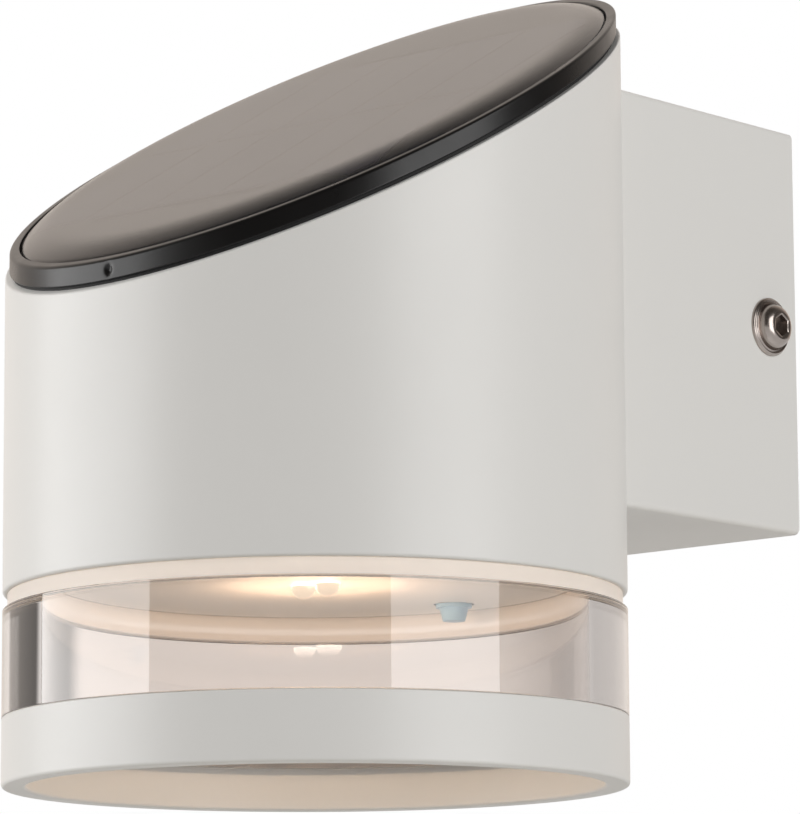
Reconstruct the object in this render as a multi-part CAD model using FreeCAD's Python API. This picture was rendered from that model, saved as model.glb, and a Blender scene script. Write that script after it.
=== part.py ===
import FreeCAD, Part
import math
import os

# Solar fence light, in millimetres. +Z is up, +Y points at the wall, the wall plane is y = 0.
# x = 0 is the plane that halves the light, z = 0 is the middle height of the arm.

V = FreeCAD.Vector
UP = V(0, 0, 1)
BACK = V(0, 1, 0)
SIDE = V(1, 0, 0)

# ---- driving dimensions: the visible shells ----
TUBE_RADIUS = 38.0
TUBE_WALL = 1.8
TUBE_AXIS_OUT = 65.0          # wall plane to tube axis
TUBE_AXIS_HEIGHT = 55.4       # tube's lower edge to the slanted cut, on the axis
SLANT_DEG = 30.7
EDGE_ROUND = 0.4

LOWER_RING_HEIGHT = 8.3
LOWER_RING_WALL = 3.0
CLEAR_RING_HEIGHT = 13.1
CLEAR_RING_WALL = 4.7
CLEAR_RING_BEVEL = 0.6
RING_SPIGOT_LENGTH = 3.0
RING_TONGUE_HEIGHT = 0.9
RING_TONGUE_WIDTH = 1.4
NECK_HEIGHT = 2.0
NECK_INSET = 0.6

ARM_WIDTH = 50.0
ARM_HEIGHT = 53.0
ARM_WALL = 1.8
ARM_WEB = 2.0
ARM_RISE = 35.0               # foot of the light to the arm's underside
ARM_EDGE_ROUND = 0.8

# ---- driving dimensions: fits ----
GLUE_GAP = 0.05               # between pieces of one body that nest
PLATE_GAP = 0.15              # wall plate inside the arm
LIFT_GAP = 0.3                # solar head inside the tube
SLIDE_GAP = 0.05              # screw shank in a nut, plunger in its switch
SCREW_HOLE_GAP = 0.25         # shank in a clearance hole
SCREW_END_ROOM = 0.5          # blind hole beyond a screw's end

# ---- driving dimensions: screw heads, as shares of the head or the shank ----
PAN_ROUND = 0.45
TIP_CHAMFER = 0.3
CROSS_ARM = 0.55
CROSS_BLADE = 0.11

# ---- driving dimensions: wall plate and its screws ----
PLATE_THICK = 2.0
PLATE_HEIGHT = 40.0
PLATE_CORNER = 3.0
EAR_LENGTH = 12.0
EAR_HEIGHT = 18.0
WALL_SLOT_SPACING = 26.0
WALL_SLOT_WIDTH = 4.6
WALL_SLOT_LENGTH = 9.0
SIDE_SCREW_BACK = 5.6         # wall plane to screw axis
M4_RADIUS = 2.0
M4_HEAD_RADIUS = 3.8
M4_HEAD_HEIGHT = 2.2
M4_HEAD_RIM = 0.3             # upright edge under the domed head
M4_TIP_CHAMFER = 0.5
M4_DOME_STEPS = 8
M4_SOCKET_FLATS = 2.5
M4_SOCKET_DEPTH = 1.3
SIDE_SCREW_LENGTH = 9.0
M4_NUT_FLATS = 7.0
M4_NUT_HEIGHT = 3.2
ARM_SCREW_SPACING = 24.0
ARM_SCREW_LENGTH = 9.0
ARM_SCREW_HEAD_RADIUS = 3.5
ARM_SCREW_HEAD_HEIGHT = 2.2

# ---- driving dimensions: lamp deck ----
CEILING_RECESS = 1.1          # ceiling above the tube's lower edge
DECK_THICK = 2.0
DECK_POST_RADIUS = 3.2
DECK_POST_HEIGHT = 6.0
DECK_SCREW_INSET = 6.7        # tube bore to the screws' circle
DECK_SCREW_ANGLES = (30.0, 150.0, 270.0)
TAB_THICK = 2.5
TAB_RADIUS = 4.2
M3_RADIUS = 1.5
M3_HEAD_RADIUS = 2.75
M3_HEAD_HEIGHT = 1.8
DECK_SCREW_LENGTH = 7.5

LAMP_RADIUS = 1.5
LAMP_LENGTH = 4.5             # flange top to dome tip
LAMP_FLANGE_RADIUS = 1.9
LAMP_FLANGE_HEIGHT = 1.0
LAMP_PITCH = 4.0
LAMP_HOLE_GAP = 0.1
LEAD_RADIUS = 0.25
LEAD_PITCH = 2.54
LEAD_STAND = 1.5              # wire end above its board
BOARD_THICK = 1.6
BOARD_CORNER = 2.0
LAMP_BOARD_WIDTH = 26.0
LAMP_BOARD_FRONT = 11.0       # tube axis to the board's front edge
LAMP_BOARD_EDGE_GAP = 3.2     # board's back edge to the tube bore
LAMP_BOARD_RISE = 5.0         # deck top to board underside
BOARD_POST_RADIUS = 2.4
BOARD_POST_SPACING = 18.0
BOARD_POST_BACK = 12.0
BOARD_SCREW_RADIUS = 1.1
BOARD_SCREW_HEAD_RADIUS = 1.9
BOARD_SCREW_HEAD_HEIGHT = 1.3
BOARD_SCREW_LENGTH = 4.5
RESISTOR_RADIUS = 0.9
RESISTOR_LENGTH = 3.4
RESISTOR_ROUND = 0.35

# ---- driving dimensions: push switch ----
SWITCH_EDGE_GAP = 6.4         # board's back edge to the switch's middle
SWITCH_SIZE = 6.0
SWITCH_WALL = 0.8
SWITCH_ROUND = 0.5
SWITCH_DECK_GAP = 0.3         # switch body over the deck
PLUNGER_RADIUS = 1.2
PLUNGER_HEAD_RADIUS = 1.8
PLUNGER_HEAD_HEIGHT = 0.8
CAP_TOP_RADIUS = 2.4
CAP_FLANGE_HEIGHT = 0.45
CAP_BODY_RADIUS = 1.95
CAP_TIP_RADIUS = 1.5
CAP_DROP = 2.1                # cap below the ceiling
CAP_HOLE_GAP = 0.3
SPRING_WIRE = 0.2
SPRING_TURNS = 2

# ---- driving dimensions: solar head ----
GASKET_THICK = 0.5
GASKET_INSET = 0.9
BEZEL_INSET = 0.5             # bezel's side inside the tube's side
BEZEL_THICK = 2.56
BEZEL_LAND = 1.2              # rim's upper edge, seen beside the panel
BEZEL_LEDGE = 0.6             # shelf under the panel, on the seal
SKIRT_DEPTH = 6.0
SKIRT_WALL = 4.4
NOTCH_WIDTH = 1.2
NOTCH_HEIGHT = 0.9
NOTCH_DEPTH = 0.5
PANEL_GROOVE = 0.3
PANEL_BOARD_THICK = 1.0
CELL_THICK = 0.3
CELL_ROWS = 2
CELL_COLUMNS = 5
CELL_GAP = 1.0
CELL_INSET_X = 8.0            # panel's side to the first column
CELL_INSET_Y = 14.0           # panel's front to the first row
RIBBON_WIDTH = 1.0
RIBBON_THICK = 0.15
DOME_EDGE = 0.8               # resin's upright rim above the board
DOME_RISE = 1.3               # resin's flat top above its rim
DOME_ROLL = 5.0               # width of the resin's rolled edge
TRAY_PLATE_THICK = 2.0
TRAY_WALL = 1.6
TRAY_ROOM = 7.1               # lamp board top to the tray, beyond the battery's drop
TRAY_SCREW_RADIUS = 1.0
TRAY_SCREW_HEAD_RADIUS = 1.7
TRAY_SCREW_HEAD_HEIGHT = 1.2
TRAY_SCREW_LENGTH = 5.0
TRAY_SCREW_END_ROOM = 0.3
TRAY_SCREW_ANGLES = (10.0, 170.0, 270.0)

BATTERY_RADIUS = 7.1
BATTERY_LENGTH = 49.0
BATTERY_ROUND = 0.5
BATTERY_NUB_RADIUS = 2.75
BATTERY_NUB_LENGTH = 1.2
BATTERY_SIDE_GAP = 0.3
BATTERY_BAY_SHIFT = 1.0       # battery axis in front of the tube axis
BATTERY_DROP = 12.0
CONTACT_GAP = 0.03
CONTACT_PLATE_THICK = 0.4
CONTACT_PLATE_SIZE = 9.0
CONTACT_SPRING_LENGTH = 4.0
CONTACT_SPRING_RADIUS = 3.0
CONTACT_SPRING_WIRE = 0.35
CONTACT_SPRING_TURNS = 3

CONTROL_STAND = 1.0
CONTROL_POST_RADIUS = 2.0
CONTROL_BOARD_WIDTH = 38.0
CONTROL_BOARD_FRONT = -3.0
CONTROL_BOARD_BACK = 18.0
CONTROL_SIDE_GAP = 1.4        # board's side to the bay's wall
CONTROL_BACK_GAP = 0.9        # board's back edge to the bay's wall
CONTROL_SCREW_INSET = 3.0     # board's side to its screw
CHIP_WIDTH = 5.0
CHIP_DEPTH = 4.0
CHIP_HEIGHT = 1.5
CHOKE_RADIUS = 2.5
CHOKE_HEIGHT = 3.0
CAN_RADIUS = 2.0
CAN_HEIGHT = 3.5
SMALL_ROUND = 0.3             # moulded edges of plug, choke and can
WIRE_RADIUS = 0.6
WIRE_PITCH = 2.6
SOCKET_EDGE_GAP = 4.5         # board's back edge to the socket's middle
WIRE_BEND = 3.2
PLUG_WIDTH = 5.6
PLUG_DEPTH = 3.6
PLUG_HEIGHT = 6.0
PLUG_SEAT = 2.6
SOCKET_WALL = 0.9
SOCKET_HEIGHT = 3.8

# ---- heights, worked out from the sizes above ----
Z_FOOT = -(ARM_RISE + ARM_HEIGHT / 2)
Z_LOWER_TOP = Z_FOOT + LOWER_RING_HEIGHT
Z_CLEAR_TOP = Z_LOWER_TOP + CLEAR_RING_HEIGHT
Z_TUBE = Z_CLEAR_TOP + NECK_HEIGHT
Z_CUT = Z_TUBE + TUBE_AXIS_HEIGHT
Z_CEILING = Z_TUBE + CEILING_RECESS
Z_DECK = Z_CEILING + DECK_THICK
Z_TAB = Z_DECK + DECK_POST_HEIGHT
Z_BOARD = Z_DECK + LAMP_BOARD_RISE
Z_BOARD_TOP = Z_BOARD + BOARD_THICK
Z_TRAY = Z_BOARD_TOP + BATTERY_DROP + TRAY_ROOM
Z_BATTERY = Z_TRAY + BATTERY_SIDE_GAP + BATTERY_RADIUS
Z_SHELF = Z_BATTERY + BATTERY_RADIUS + BATTERY_SIDE_GAP
Z_CONTROL = Z_SHELF + TRAY_WALL + CONTROL_STAND
Z_CONTROL_TOP = Z_CONTROL + BOARD_THICK
Z_PLUG = Z_BOARD_TOP + SOCKET_HEIGHT - PLUG_SEAT
Z_WIRE = Z_CONTROL_TOP + 2 * WIRE_BEND

# ---- radii and places, worked out ----
Y_AXIS = -TUBE_AXIS_OUT
TUBE_BORE = TUBE_RADIUS - TUBE_WALL
CLEAR_BORE = TUBE_RADIUS - CLEAR_RING_WALL
LOWER_BORE = TUBE_RADIUS - LOWER_RING_WALL
NECK_RADIUS = TUBE_RADIUS - NECK_INSET
BEZEL_RADIUS = TUBE_RADIUS - BEZEL_INSET
BEZEL_BORE = BEZEL_RADIUS - BEZEL_LAND
HEAD_RADIUS = TUBE_BORE - LIFT_GAP
SKIRT_BORE = HEAD_RADIUS - SKIRT_WALL
PANEL_RADIUS = BEZEL_BORE - PANEL_GROOVE
BEZEL_TOP = GASKET_THICK + BEZEL_THICK
BOARD_LOW = GASKET_THICK + BEZEL_LEDGE
BOARD_HIGH = BOARD_LOW + PANEL_BOARD_THICK
TRAY_TOP = -SKIRT_DEPTH
TRAY_LOW = TRAY_TOP - TRAY_PLATE_THICK
TRAY_SCREW_CIRCLE = HEAD_RADIUS - SKIRT_WALL / 2
DECK_SCREW_CIRCLE = TUBE_BORE - DECK_SCREW_INSET
CELL_FIELD_X = 2 * (PANEL_RADIUS - CELL_INSET_X)
CELL_FIELD_Y = 2 * (PANEL_RADIUS - CELL_INSET_Y)
LAMP_BOARD_BACK = TUBE_BORE - LAMP_BOARD_EDGE_GAP
BOARD_BAY_WIDTH = CONTROL_BOARD_WIDTH + 2 * (CONTROL_SIDE_GAP + TRAY_WALL)
BOARD_BAY_BACK = CONTROL_BOARD_BACK + CONTROL_BACK_GAP + TRAY_WALL
CONTROL_SCREW_SPACING = CONTROL_BOARD_WIDTH - 2 * CONTROL_SCREW_INSET
CONTROL_PART_SPACING = CONTROL_BOARD_WIDTH / 4
Y_BATTERY = Y_AXIS - BATTERY_BAY_SHIFT
BAY_HALF_DEPTH = BATTERY_RADIUS + BATTERY_SIDE_GAP
BATTERY_END = BATTERY_LENGTH / 2
BAY_LOW_X = -BATTERY_END - CONTACT_GAP - CONTACT_SPRING_LENGTH
BAY_HIGH_X = BATTERY_END + BATTERY_NUB_LENGTH + CONTACT_GAP + CONTACT_PLATE_THICK
Y_SWITCH = Y_AXIS + LAMP_BOARD_BACK - SWITCH_EDGE_GAP
Y_SOCKET = Y_AXIS + LAMP_BOARD_BACK - SOCKET_EDGE_GAP
Y_CONTROL_SCREW = Y_AXIS + (CONTROL_BOARD_FRONT + CONTROL_BOARD_BACK) / 2
Y_LEAD_END = Y_AXIS + CONTROL_BOARD_BACK - WIRE_BEND
ARM_INSIDE = ARM_WIDTH / 2 - ARM_WALL
PLATE_HALF = ARM_INSIDE - PLATE_GAP
EAR_INSIDE = PLATE_HALF - PLATE_THICK
TAN_SLANT = math.tan(math.radians(SLANT_DEG))
REACH = 3 * TUBE_RADIUS       # longer than anything that it cuts


# ---- shape helpers ----
def cylinder(radius, low, high, x=0.0, y=Y_AXIS):
    """An upright cylinder between two heights."""
    return Part.makeCylinder(radius, high - low, V(x, y, low))


def tube(outer, inner, low, high, x=0.0, y=Y_AXIS):
    """An upright ring between two heights."""
    return cylinder(outer, low, high, x, y).cut(cylinder(inner, low, high, x, y))


def box(x0, x1, y0, y1, z0, z1):
    """A box from its low and high corners."""
    return Part.makeBox(x1 - x0, y1 - y0, z1 - z0, V(x0, y0, z0))


def rounded_box(x0, x1, y0, y1, z0, z1, radius):
    """A box whose upright edges are rounded."""
    solid = box(x0, x1, y0, y1, z0, z1)
    upright = [e for e in solid.Edges if abs(e.tangentAt(e.FirstParameter).z) > 0.99]
    return solid.makeFillet(radius, upright)


def polar(radius, degrees):
    """A place on a circle round the tube axis."""
    angle = math.radians(degrees)
    return radius * math.cos(angle), Y_AXIS + radius * math.sin(angle)


def turned(points, origin, axis_from, axis_to):
    """A profile of (radius, height) points turned round an axis that starts at origin."""
    wire = Part.makePolygon([V(r, 0, h) for r, h in points + points[:1]])
    solid = Part.Face(wire).revolve(V(0, 0, 0), UP, 360)
    solid.Placement = FreeCAD.Placement(origin, FreeCAD.Rotation(axis_from, axis_to))
    return solid


def slant_slab(low, high):
    """The space between two planes parallel to the slanted cut, by their heights over it."""
    y0, y1 = Y_AXIS - REACH, Y_AXIS + REACH
    z0, z1 = Z_CUT - REACH * TAN_SLANT, Z_CUT + REACH * TAN_SLANT
    corners = [V(-REACH, y0, z0 + low), V(-REACH, y1, z1 + low),
               V(-REACH, y1, z1 + high), V(-REACH, y0, z0 + high)]
    return Part.Face(Part.makePolygon(corners + corners[:1])).extrude(V(2 * REACH, 0, 0))


def slant_disc(radius, low, high):
    """An upright cylinder cut by two planes parallel to the slanted cut."""
    reach = radius * TAN_SLANT + abs(low) + abs(high)
    return cylinder(radius, Z_CUT - reach, Z_CUT + reach).common(slant_slab(low, high))


def slant_ring(outer, inner, low, high):
    """A ring between two planes parallel to the slanted cut."""
    reach = outer * TAN_SLANT + abs(low) + abs(high)
    return slant_disc(outer, low, high).cut(cylinder(inner, Z_CUT - reach, Z_CUT + reach))


def cut_height(y):
    """Height of the slanted cut at y."""
    return Z_CUT + TAN_SLANT * (y - Y_AXIS)


def hexagon(flats, low, high):
    """A hexagonal prism on the Z axis."""
    corner = flats / 2 / math.cos(math.pi / 6)
    turns = [math.radians(60 * i) for i in range(7)]
    points = [V(corner * math.cos(a), corner * math.sin(a), low) for a in turns]
    return Part.Face(Part.makePolygon(points)).extrude(V(0, 0, high - low))


def placed(solid, origin, direction):
    """A solid built on the Z axis, turned to a direction and moved to origin."""
    moved = solid.copy()
    moved.Placement = FreeCAD.Placement(origin, FreeCAD.Rotation(UP, direction))
    return moved


def pan_screw(shank, length, head, head_height):
    """A cross-recess pan head screw: the head's seat at z = 0, shank down."""
    body = Part.makeCylinder(head, head_height, V(0, 0, 0))
    rim = [e for e in body.Edges if e.BoundBox.ZMin > head_height - 0.01]
    body = body.makeFillet(head_height * PAN_ROUND, rim)
    shaft = Part.makeCylinder(shank, length, V(0, 0, -length))
    tip = [e for e in shaft.Edges if e.BoundBox.ZMax < 0.01 - length]
    shaft = shaft.makeChamfer(shank * TIP_CHAMFER, tip)
    arm, blade, floor = head * CROSS_ARM, head * CROSS_BLADE, head_height * PAN_ROUND
    recess = box(-arm, arm, -blade, blade, floor, head_height * 2)
    recess = recess.fuse(box(-blade, blade, -arm, arm, floor, head_height * 2))
    return body.fuse(shaft).removeSplitter().cut(recess)


def arc_round(start, corner, end):
    """The arc that leaves start towards a corner and comes to end from it, as far away."""
    into = (corner - start).normalize()
    out = (end - corner).normalize()
    half = into.getAngle(out) / 2
    bend = (corner - start).Length / math.tan(half)
    inward = (out - into).normalize()
    return Part.Arc(start, corner + inward * (bend / math.cos(half) - bend), end).toShape()


def wire_run(points, radius, bend):
    """A round wire along straight runs joined by tangent arcs of one radius."""
    edges = []
    start = points[0]
    for before, corner, after in zip(points, points[1:], points[2:]):
        into = (corner - before).normalize()
        out = (after - corner).normalize()
        back = bend * math.tan(into.getAngle(out) / 2)
        first = corner - into * back
        last = corner + out * back
        edges.append(Part.makeLine(start, first))
        edges.append(arc_round(first, corner, last))
        start = last
    edges.append(Part.makeLine(start, points[-1]))
    path = Part.Wire(edges)
    heading = (points[1] - points[0]).normalize()
    ring = Part.Wire([Part.makeCircle(radius, points[0], heading)])
    pipe = path.makePipeShell([ring], True, False)
    share = pipe.Volume / (math.pi * radius ** 2 * path.Length)
    print("wire: volume over section times length", round(share, 4))
    return pipe


def coil(radius, wire, turns, length):
    """An open coil spring on the Z axis, a pipe on biarcs that follow a helix by quarter turns."""
    rise = (length - 2 * wire) / turns
    edges = []
    for quarter in range(4 * turns):
        start, into = helix_step(radius, wire, rise, quarter)
        end, out = helix_step(radius, wire, rise, quarter + 1)
        span, both = end - start, into + out
        share = both.dot(both) - 4
        leg = (span.dot(both) - math.sqrt(span.dot(both) ** 2 - share * span.dot(span))) / share
        first, last = start + into * leg, end - out * leg
        middle = (first + last) / 2
        edges += [arc_round(start, first, middle), arc_round(middle, last, end)]
    place, heading = helix_step(radius, wire, rise, 0)
    ring = Part.Wire([Part.makeCircle(wire, place, heading)])
    pipe = Part.Wire(edges).makePipeShell([ring], True, False)
    print("coil: gap between turns", round(rise - 2 * wire, 3))
    return pipe


def helix_step(radius, low, rise, quarter):
    """Place and heading on a helix that starts at a height, after a number of quarter turns."""
    angle = math.pi / 2 * quarter
    place = V(radius * math.cos(angle), radius * math.sin(angle), low + rise * quarter / 4)
    heading = V(-math.sin(angle), math.cos(angle), rise / (2 * math.pi * radius))
    return place, heading.normalize()


def group(solids):
    """Separate solids kept in one node."""
    return Part.makeCompound(solids)


# ---- housing: tube, arm, wall plate ----
def arm_screw_heights():
    """The two screws through tube and arm, above and below the middle."""
    return (-ARM_SCREW_SPACING / 2, ARM_SCREW_SPACING / 2)


def body_tube():
    """White tube with the slanted cut, three inner tabs and two holes for the arm screws."""
    top = cut_height(Y_AXIS + TUBE_RADIUS) + 1
    shell = tube(TUBE_RADIUS, TUBE_BORE, Z_TUBE, top)
    foot = [e for e in shell.Edges if e.BoundBox.ZMax < Z_TUBE + 0.01]
    shell = shell.makeFillet(EDGE_ROUND, foot).cut(slant_slab(0, REACH))
    for degrees in DECK_SCREW_ANGLES:
        x, y = polar(DECK_SCREW_CIRCLE, degrees)
        arm = box(DECK_SCREW_CIRCLE, TUBE_BORE + TUBE_WALL / 2, -TAB_RADIUS, TAB_RADIUS,
                  Z_TAB, Z_TAB + TAB_THICK)
        arm.rotate(V(0, 0, 0), UP, degrees)
        arm.translate(V(0, Y_AXIS, 0))
        tab = arm.fuse(cylinder(TAB_RADIUS, Z_TAB, Z_TAB + TAB_THICK, x, y)).removeSplitter()
        shell = shell.fuse(tab)
        shell = shell.cut(cylinder(M3_RADIUS + SCREW_HOLE_GAP, Z_TAB, Z_TAB + TAB_THICK, x, y))
    for z in arm_screw_heights():
        shell = shell.cut(Part.makeCylinder(M4_RADIUS + SCREW_HOLE_GAP, TUBE_AXIS_OUT,
                                            V(0, Y_AXIS, z), BACK))
    return shell


def arm_box():
    """White rectangular arm: a sleeve open to the wall, with a web shaped to the tube."""
    half_w, half_h = ARM_WIDTH / 2, ARM_HEIGHT / 2
    sleeve = box(-half_w, half_w, Y_AXIS, 0, -half_h, half_h)
    long_edges = [e for e in sleeve.Edges if abs(e.tangentAt(e.FirstParameter).y) > 0.99]
    sleeve = sleeve.makeFillet(ARM_EDGE_ROUND, long_edges)
    seat = TUBE_RADIUS + GLUE_GAP
    sleeve = sleeve.cut(cylinder(seat, -REACH, REACH))
    room = box(-ARM_INSIDE, ARM_INSIDE, Y_AXIS, 0, ARM_WALL - half_h, half_h - ARM_WALL)
    sleeve = sleeve.cut(room.cut(cylinder(seat + ARM_WEB, -REACH, REACH)))
    hole = M4_RADIUS + SCREW_HOLE_GAP
    sleeve = sleeve.cut(Part.makeCylinder(hole, ARM_WIDTH, V(-half_w, -SIDE_SCREW_BACK, 0), SIDE))
    for z in arm_screw_heights():
        sleeve = sleeve.cut(Part.makeCylinder(hole, TUBE_AXIS_OUT, V(0, Y_AXIS, z), BACK))
    return sleeve


def arm_screw_seat():
    """How far from the tube axis a flat screw head can sit on the round bore."""
    return math.sqrt(TUBE_BORE ** 2 - ARM_SCREW_HEAD_RADIUS ** 2) - GLUE_GAP


def arm_screws():
    """Two screws from inside the tube into the arm."""
    screw = pan_screw(M4_RADIUS, ARM_SCREW_LENGTH, ARM_SCREW_HEAD_RADIUS, ARM_SCREW_HEAD_HEIGHT)
    y = Y_AXIS + arm_screw_seat()
    return group([placed(screw, V(0, y, z), V(0, -1, 0)) for z in arm_screw_heights()])


def arm_nuts():
    """Two hexagon nuts behind the arm's web."""
    blank = hexagon(M4_NUT_FLATS, 0, M4_NUT_HEIGHT)
    nut = blank.cut(Part.makeCylinder(M4_RADIUS + SLIDE_GAP, M4_NUT_HEIGHT, V(0, 0, 0)))
    y = Y_AXIS + TUBE_RADIUS + GLUE_GAP + ARM_WEB + GLUE_GAP
    return group([placed(nut, V(0, y, z), BACK) for z in arm_screw_heights()])


def wall_slot(z):
    """One upright slot through the wall plate."""
    radius = WALL_SLOT_WIDTH / 2
    run = WALL_SLOT_LENGTH / 2 - radius
    slot = box(-radius, radius, -PLATE_THICK, 0, z - run, z + run)
    for end in (z - run, z + run):
        slot = slot.fuse(Part.makeCylinder(radius, PLATE_THICK, V(0, -PLATE_THICK, end), BACK))
    return slot


def wall_plate():
    """Steel plate on the wall with two ears bent forward for the side screws."""
    half_h = PLATE_HEIGHT / 2
    web = box(-PLATE_HALF, PLATE_HALF, -PLATE_THICK, 0, -half_h, half_h)
    corners = [e for e in web.Edges if abs(e.tangentAt(e.FirstParameter).y) > 0.99]
    plate = web.makeFillet(PLATE_CORNER, corners)
    for x in (-PLATE_HALF, EAR_INSIDE):
        ear = box(x, x + PLATE_THICK, -PLATE_THICK - EAR_LENGTH, 0,
                  -EAR_HEIGHT / 2, EAR_HEIGHT / 2)
        nose = [e for e in ear.Edges if abs(e.tangentAt(e.FirstParameter).x) > 0.99
                and e.BoundBox.YMax < -PLATE_THICK]
        plate = plate.fuse(ear.makeFillet(PLATE_CORNER, nose))
    plate = plate.removeSplitter()
    start = V(-ARM_WIDTH / 2, -SIDE_SCREW_BACK, 0)
    plate = plate.cut(Part.makeCylinder(M4_RADIUS + SCREW_HOLE_GAP, ARM_WIDTH, start, SIDE))
    for z in (-WALL_SLOT_SPACING / 2, WALL_SLOT_SPACING / 2):
        plate = plate.cut(wall_slot(z))
    return plate


def plate_nuts():
    """Two nuts welded to the inner faces of the ears."""
    blank = hexagon(M4_NUT_FLATS, 0, M4_NUT_HEIGHT)
    nut = blank.cut(Part.makeCylinder(M4_RADIUS + SLIDE_GAP, M4_NUT_HEIGHT, V(0, 0, 0)))
    return group([placed(nut, V(EAR_INSIDE - M4_NUT_HEIGHT, -SIDE_SCREW_BACK, 0), SIDE),
                  placed(nut, V(-EAR_INSIDE + M4_NUT_HEIGHT, -SIDE_SCREW_BACK, 0), -SIDE)])


def side_screw(side):
    """Button head screw with a hexagon socket, on the side given by +1 or -1."""
    crown = M4_HEAD_HEIGHT - M4_HEAD_RIM
    turns = [math.pi / 2 * step / M4_DOME_STEPS for step in range(M4_DOME_STEPS)]
    dome = [(M4_HEAD_RADIUS * math.cos(a), M4_HEAD_RIM + crown * math.sin(a)) for a in turns]
    profile = [(0, -SIDE_SCREW_LENGTH), (M4_RADIUS - M4_TIP_CHAMFER, -SIDE_SCREW_LENGTH),
               (M4_RADIUS, M4_TIP_CHAMFER - SIDE_SCREW_LENGTH), (M4_RADIUS, 0),
               (M4_HEAD_RADIUS, 0)] + dome + [(0, M4_HEAD_HEIGHT)]
    screw = turned(profile, V(0, 0, 0), UP, UP)
    socket = hexagon(M4_SOCKET_FLATS, M4_HEAD_HEIGHT - M4_SOCKET_DEPTH, M4_HEAD_HEIGHT + 1)
    return placed(screw.cut(socket), V(side * ARM_WIDTH / 2, -SIDE_SCREW_BACK, 0), SIDE * side)


# ---- lamp section ----
def board_posts():
    """The two places that carry the lamp board."""
    half = BOARD_POST_SPACING / 2
    return [(x, Y_AXIS + BOARD_POST_BACK) for x in (-half, half)]


def lamp_places():
    """The two lamps, side by side on the tube axis."""
    return (-LAMP_PITCH / 2, LAMP_PITCH / 2)


def lamp_deck():
    """White moulding over the lamps: the ceiling and the posts for its screws and its board."""
    deck = cylinder(TUBE_BORE - GLUE_GAP, Z_CEILING, Z_DECK)
    for degrees in DECK_SCREW_ANGLES:
        x, y = polar(DECK_SCREW_CIRCLE, degrees)
        deck = deck.fuse(cylinder(DECK_POST_RADIUS, Z_DECK, Z_TAB, x, y))
    for x, y in board_posts():
        deck = deck.fuse(cylinder(BOARD_POST_RADIUS, Z_DECK, Z_BOARD, x, y))
    deck = deck.removeSplitter()
    for degrees in DECK_SCREW_ANGLES:
        x, y = polar(DECK_SCREW_CIRCLE, degrees)
        depth = DECK_SCREW_LENGTH - TAB_THICK + SCREW_END_ROOM
        deck = deck.cut(cylinder(M3_RADIUS, Z_TAB - depth, Z_TAB, x, y))
    for x, y in board_posts():
        depth = BOARD_SCREW_LENGTH - BOARD_THICK + SCREW_END_ROOM
        deck = deck.cut(cylinder(BOARD_SCREW_RADIUS, Z_BOARD - depth, Z_BOARD, x, y))
    for x in lamp_places():
        deck = deck.cut(cylinder(LAMP_RADIUS + LAMP_HOLE_GAP, Z_CEILING, Z_DECK, x))
    return deck.cut(cylinder(CAP_TOP_RADIUS + CAP_HOLE_GAP, Z_CEILING, Z_DECK, 0, Y_SWITCH))


def neck_ring():
    """Frosted ring that shows between tube and clear ring, grooved for the clear ring's tongue."""
    neck = tube(NECK_RADIUS, CLEAR_BORE, Z_CLEAR_TOP, Z_TUBE)
    collar = tube(TUBE_BORE - GLUE_GAP, CLEAR_BORE, Z_TUBE, Z_CEILING)
    middle = (NECK_RADIUS + CLEAR_BORE) / 2
    half = RING_TONGUE_WIDTH / 2 + GLUE_GAP
    top = Z_CLEAR_TOP + RING_TONGUE_HEIGHT + GLUE_GAP
    return neck.fuse(collar).removeSplitter().cut(tube(middle + half, middle - half, Z_CLEAR_TOP, top))


def deck_screws():
    """Three screws through the tube's tabs into the deck's posts."""
    screw = pan_screw(M3_RADIUS - GLUE_GAP, DECK_SCREW_LENGTH, M3_HEAD_RADIUS, M3_HEAD_HEIGHT)
    places = [polar(DECK_SCREW_CIRCLE, degrees) for degrees in DECK_SCREW_ANGLES]
    return group([placed(screw, V(x, y, Z_TAB + TAB_THICK), UP) for x, y in places])


def clear_ring():
    """Thick clear ring with a bevelled top, a tongue up into the deck and a spigot down."""
    bottom = Z_LOWER_TOP - RING_SPIGOT_LENGTH
    spigot = LOWER_BORE - GLUE_GAP
    middle = (NECK_RADIUS + CLEAR_BORE) / 2
    tongue_in, tongue_out = middle - RING_TONGUE_WIDTH / 2, middle + RING_TONGUE_WIDTH / 2
    tongue_top = Z_CLEAR_TOP + RING_TONGUE_HEIGHT
    profile = [(CLEAR_BORE, bottom), (spigot, bottom), (spigot, Z_LOWER_TOP),
               (TUBE_RADIUS, Z_LOWER_TOP), (TUBE_RADIUS, Z_CLEAR_TOP - CLEAR_RING_BEVEL),
               (TUBE_RADIUS - CLEAR_RING_BEVEL, Z_CLEAR_TOP), (tongue_out, Z_CLEAR_TOP),
               (tongue_out, tongue_top), (tongue_in, tongue_top), (tongue_in, Z_CLEAR_TOP),
               (CLEAR_BORE, Z_CLEAR_TOP)]
    return turned(profile, V(0, Y_AXIS, 0), UP, UP)


def lower_ring():
    """White ring at the foot, open below."""
    ring = tube(TUBE_RADIUS, LOWER_BORE, Z_FOOT, Z_LOWER_TOP)
    rims = [e for e in ring.Edges if e.BoundBox.ZLength < 0.01]
    return ring.makeFillet(EDGE_ROUND, rims)


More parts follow.
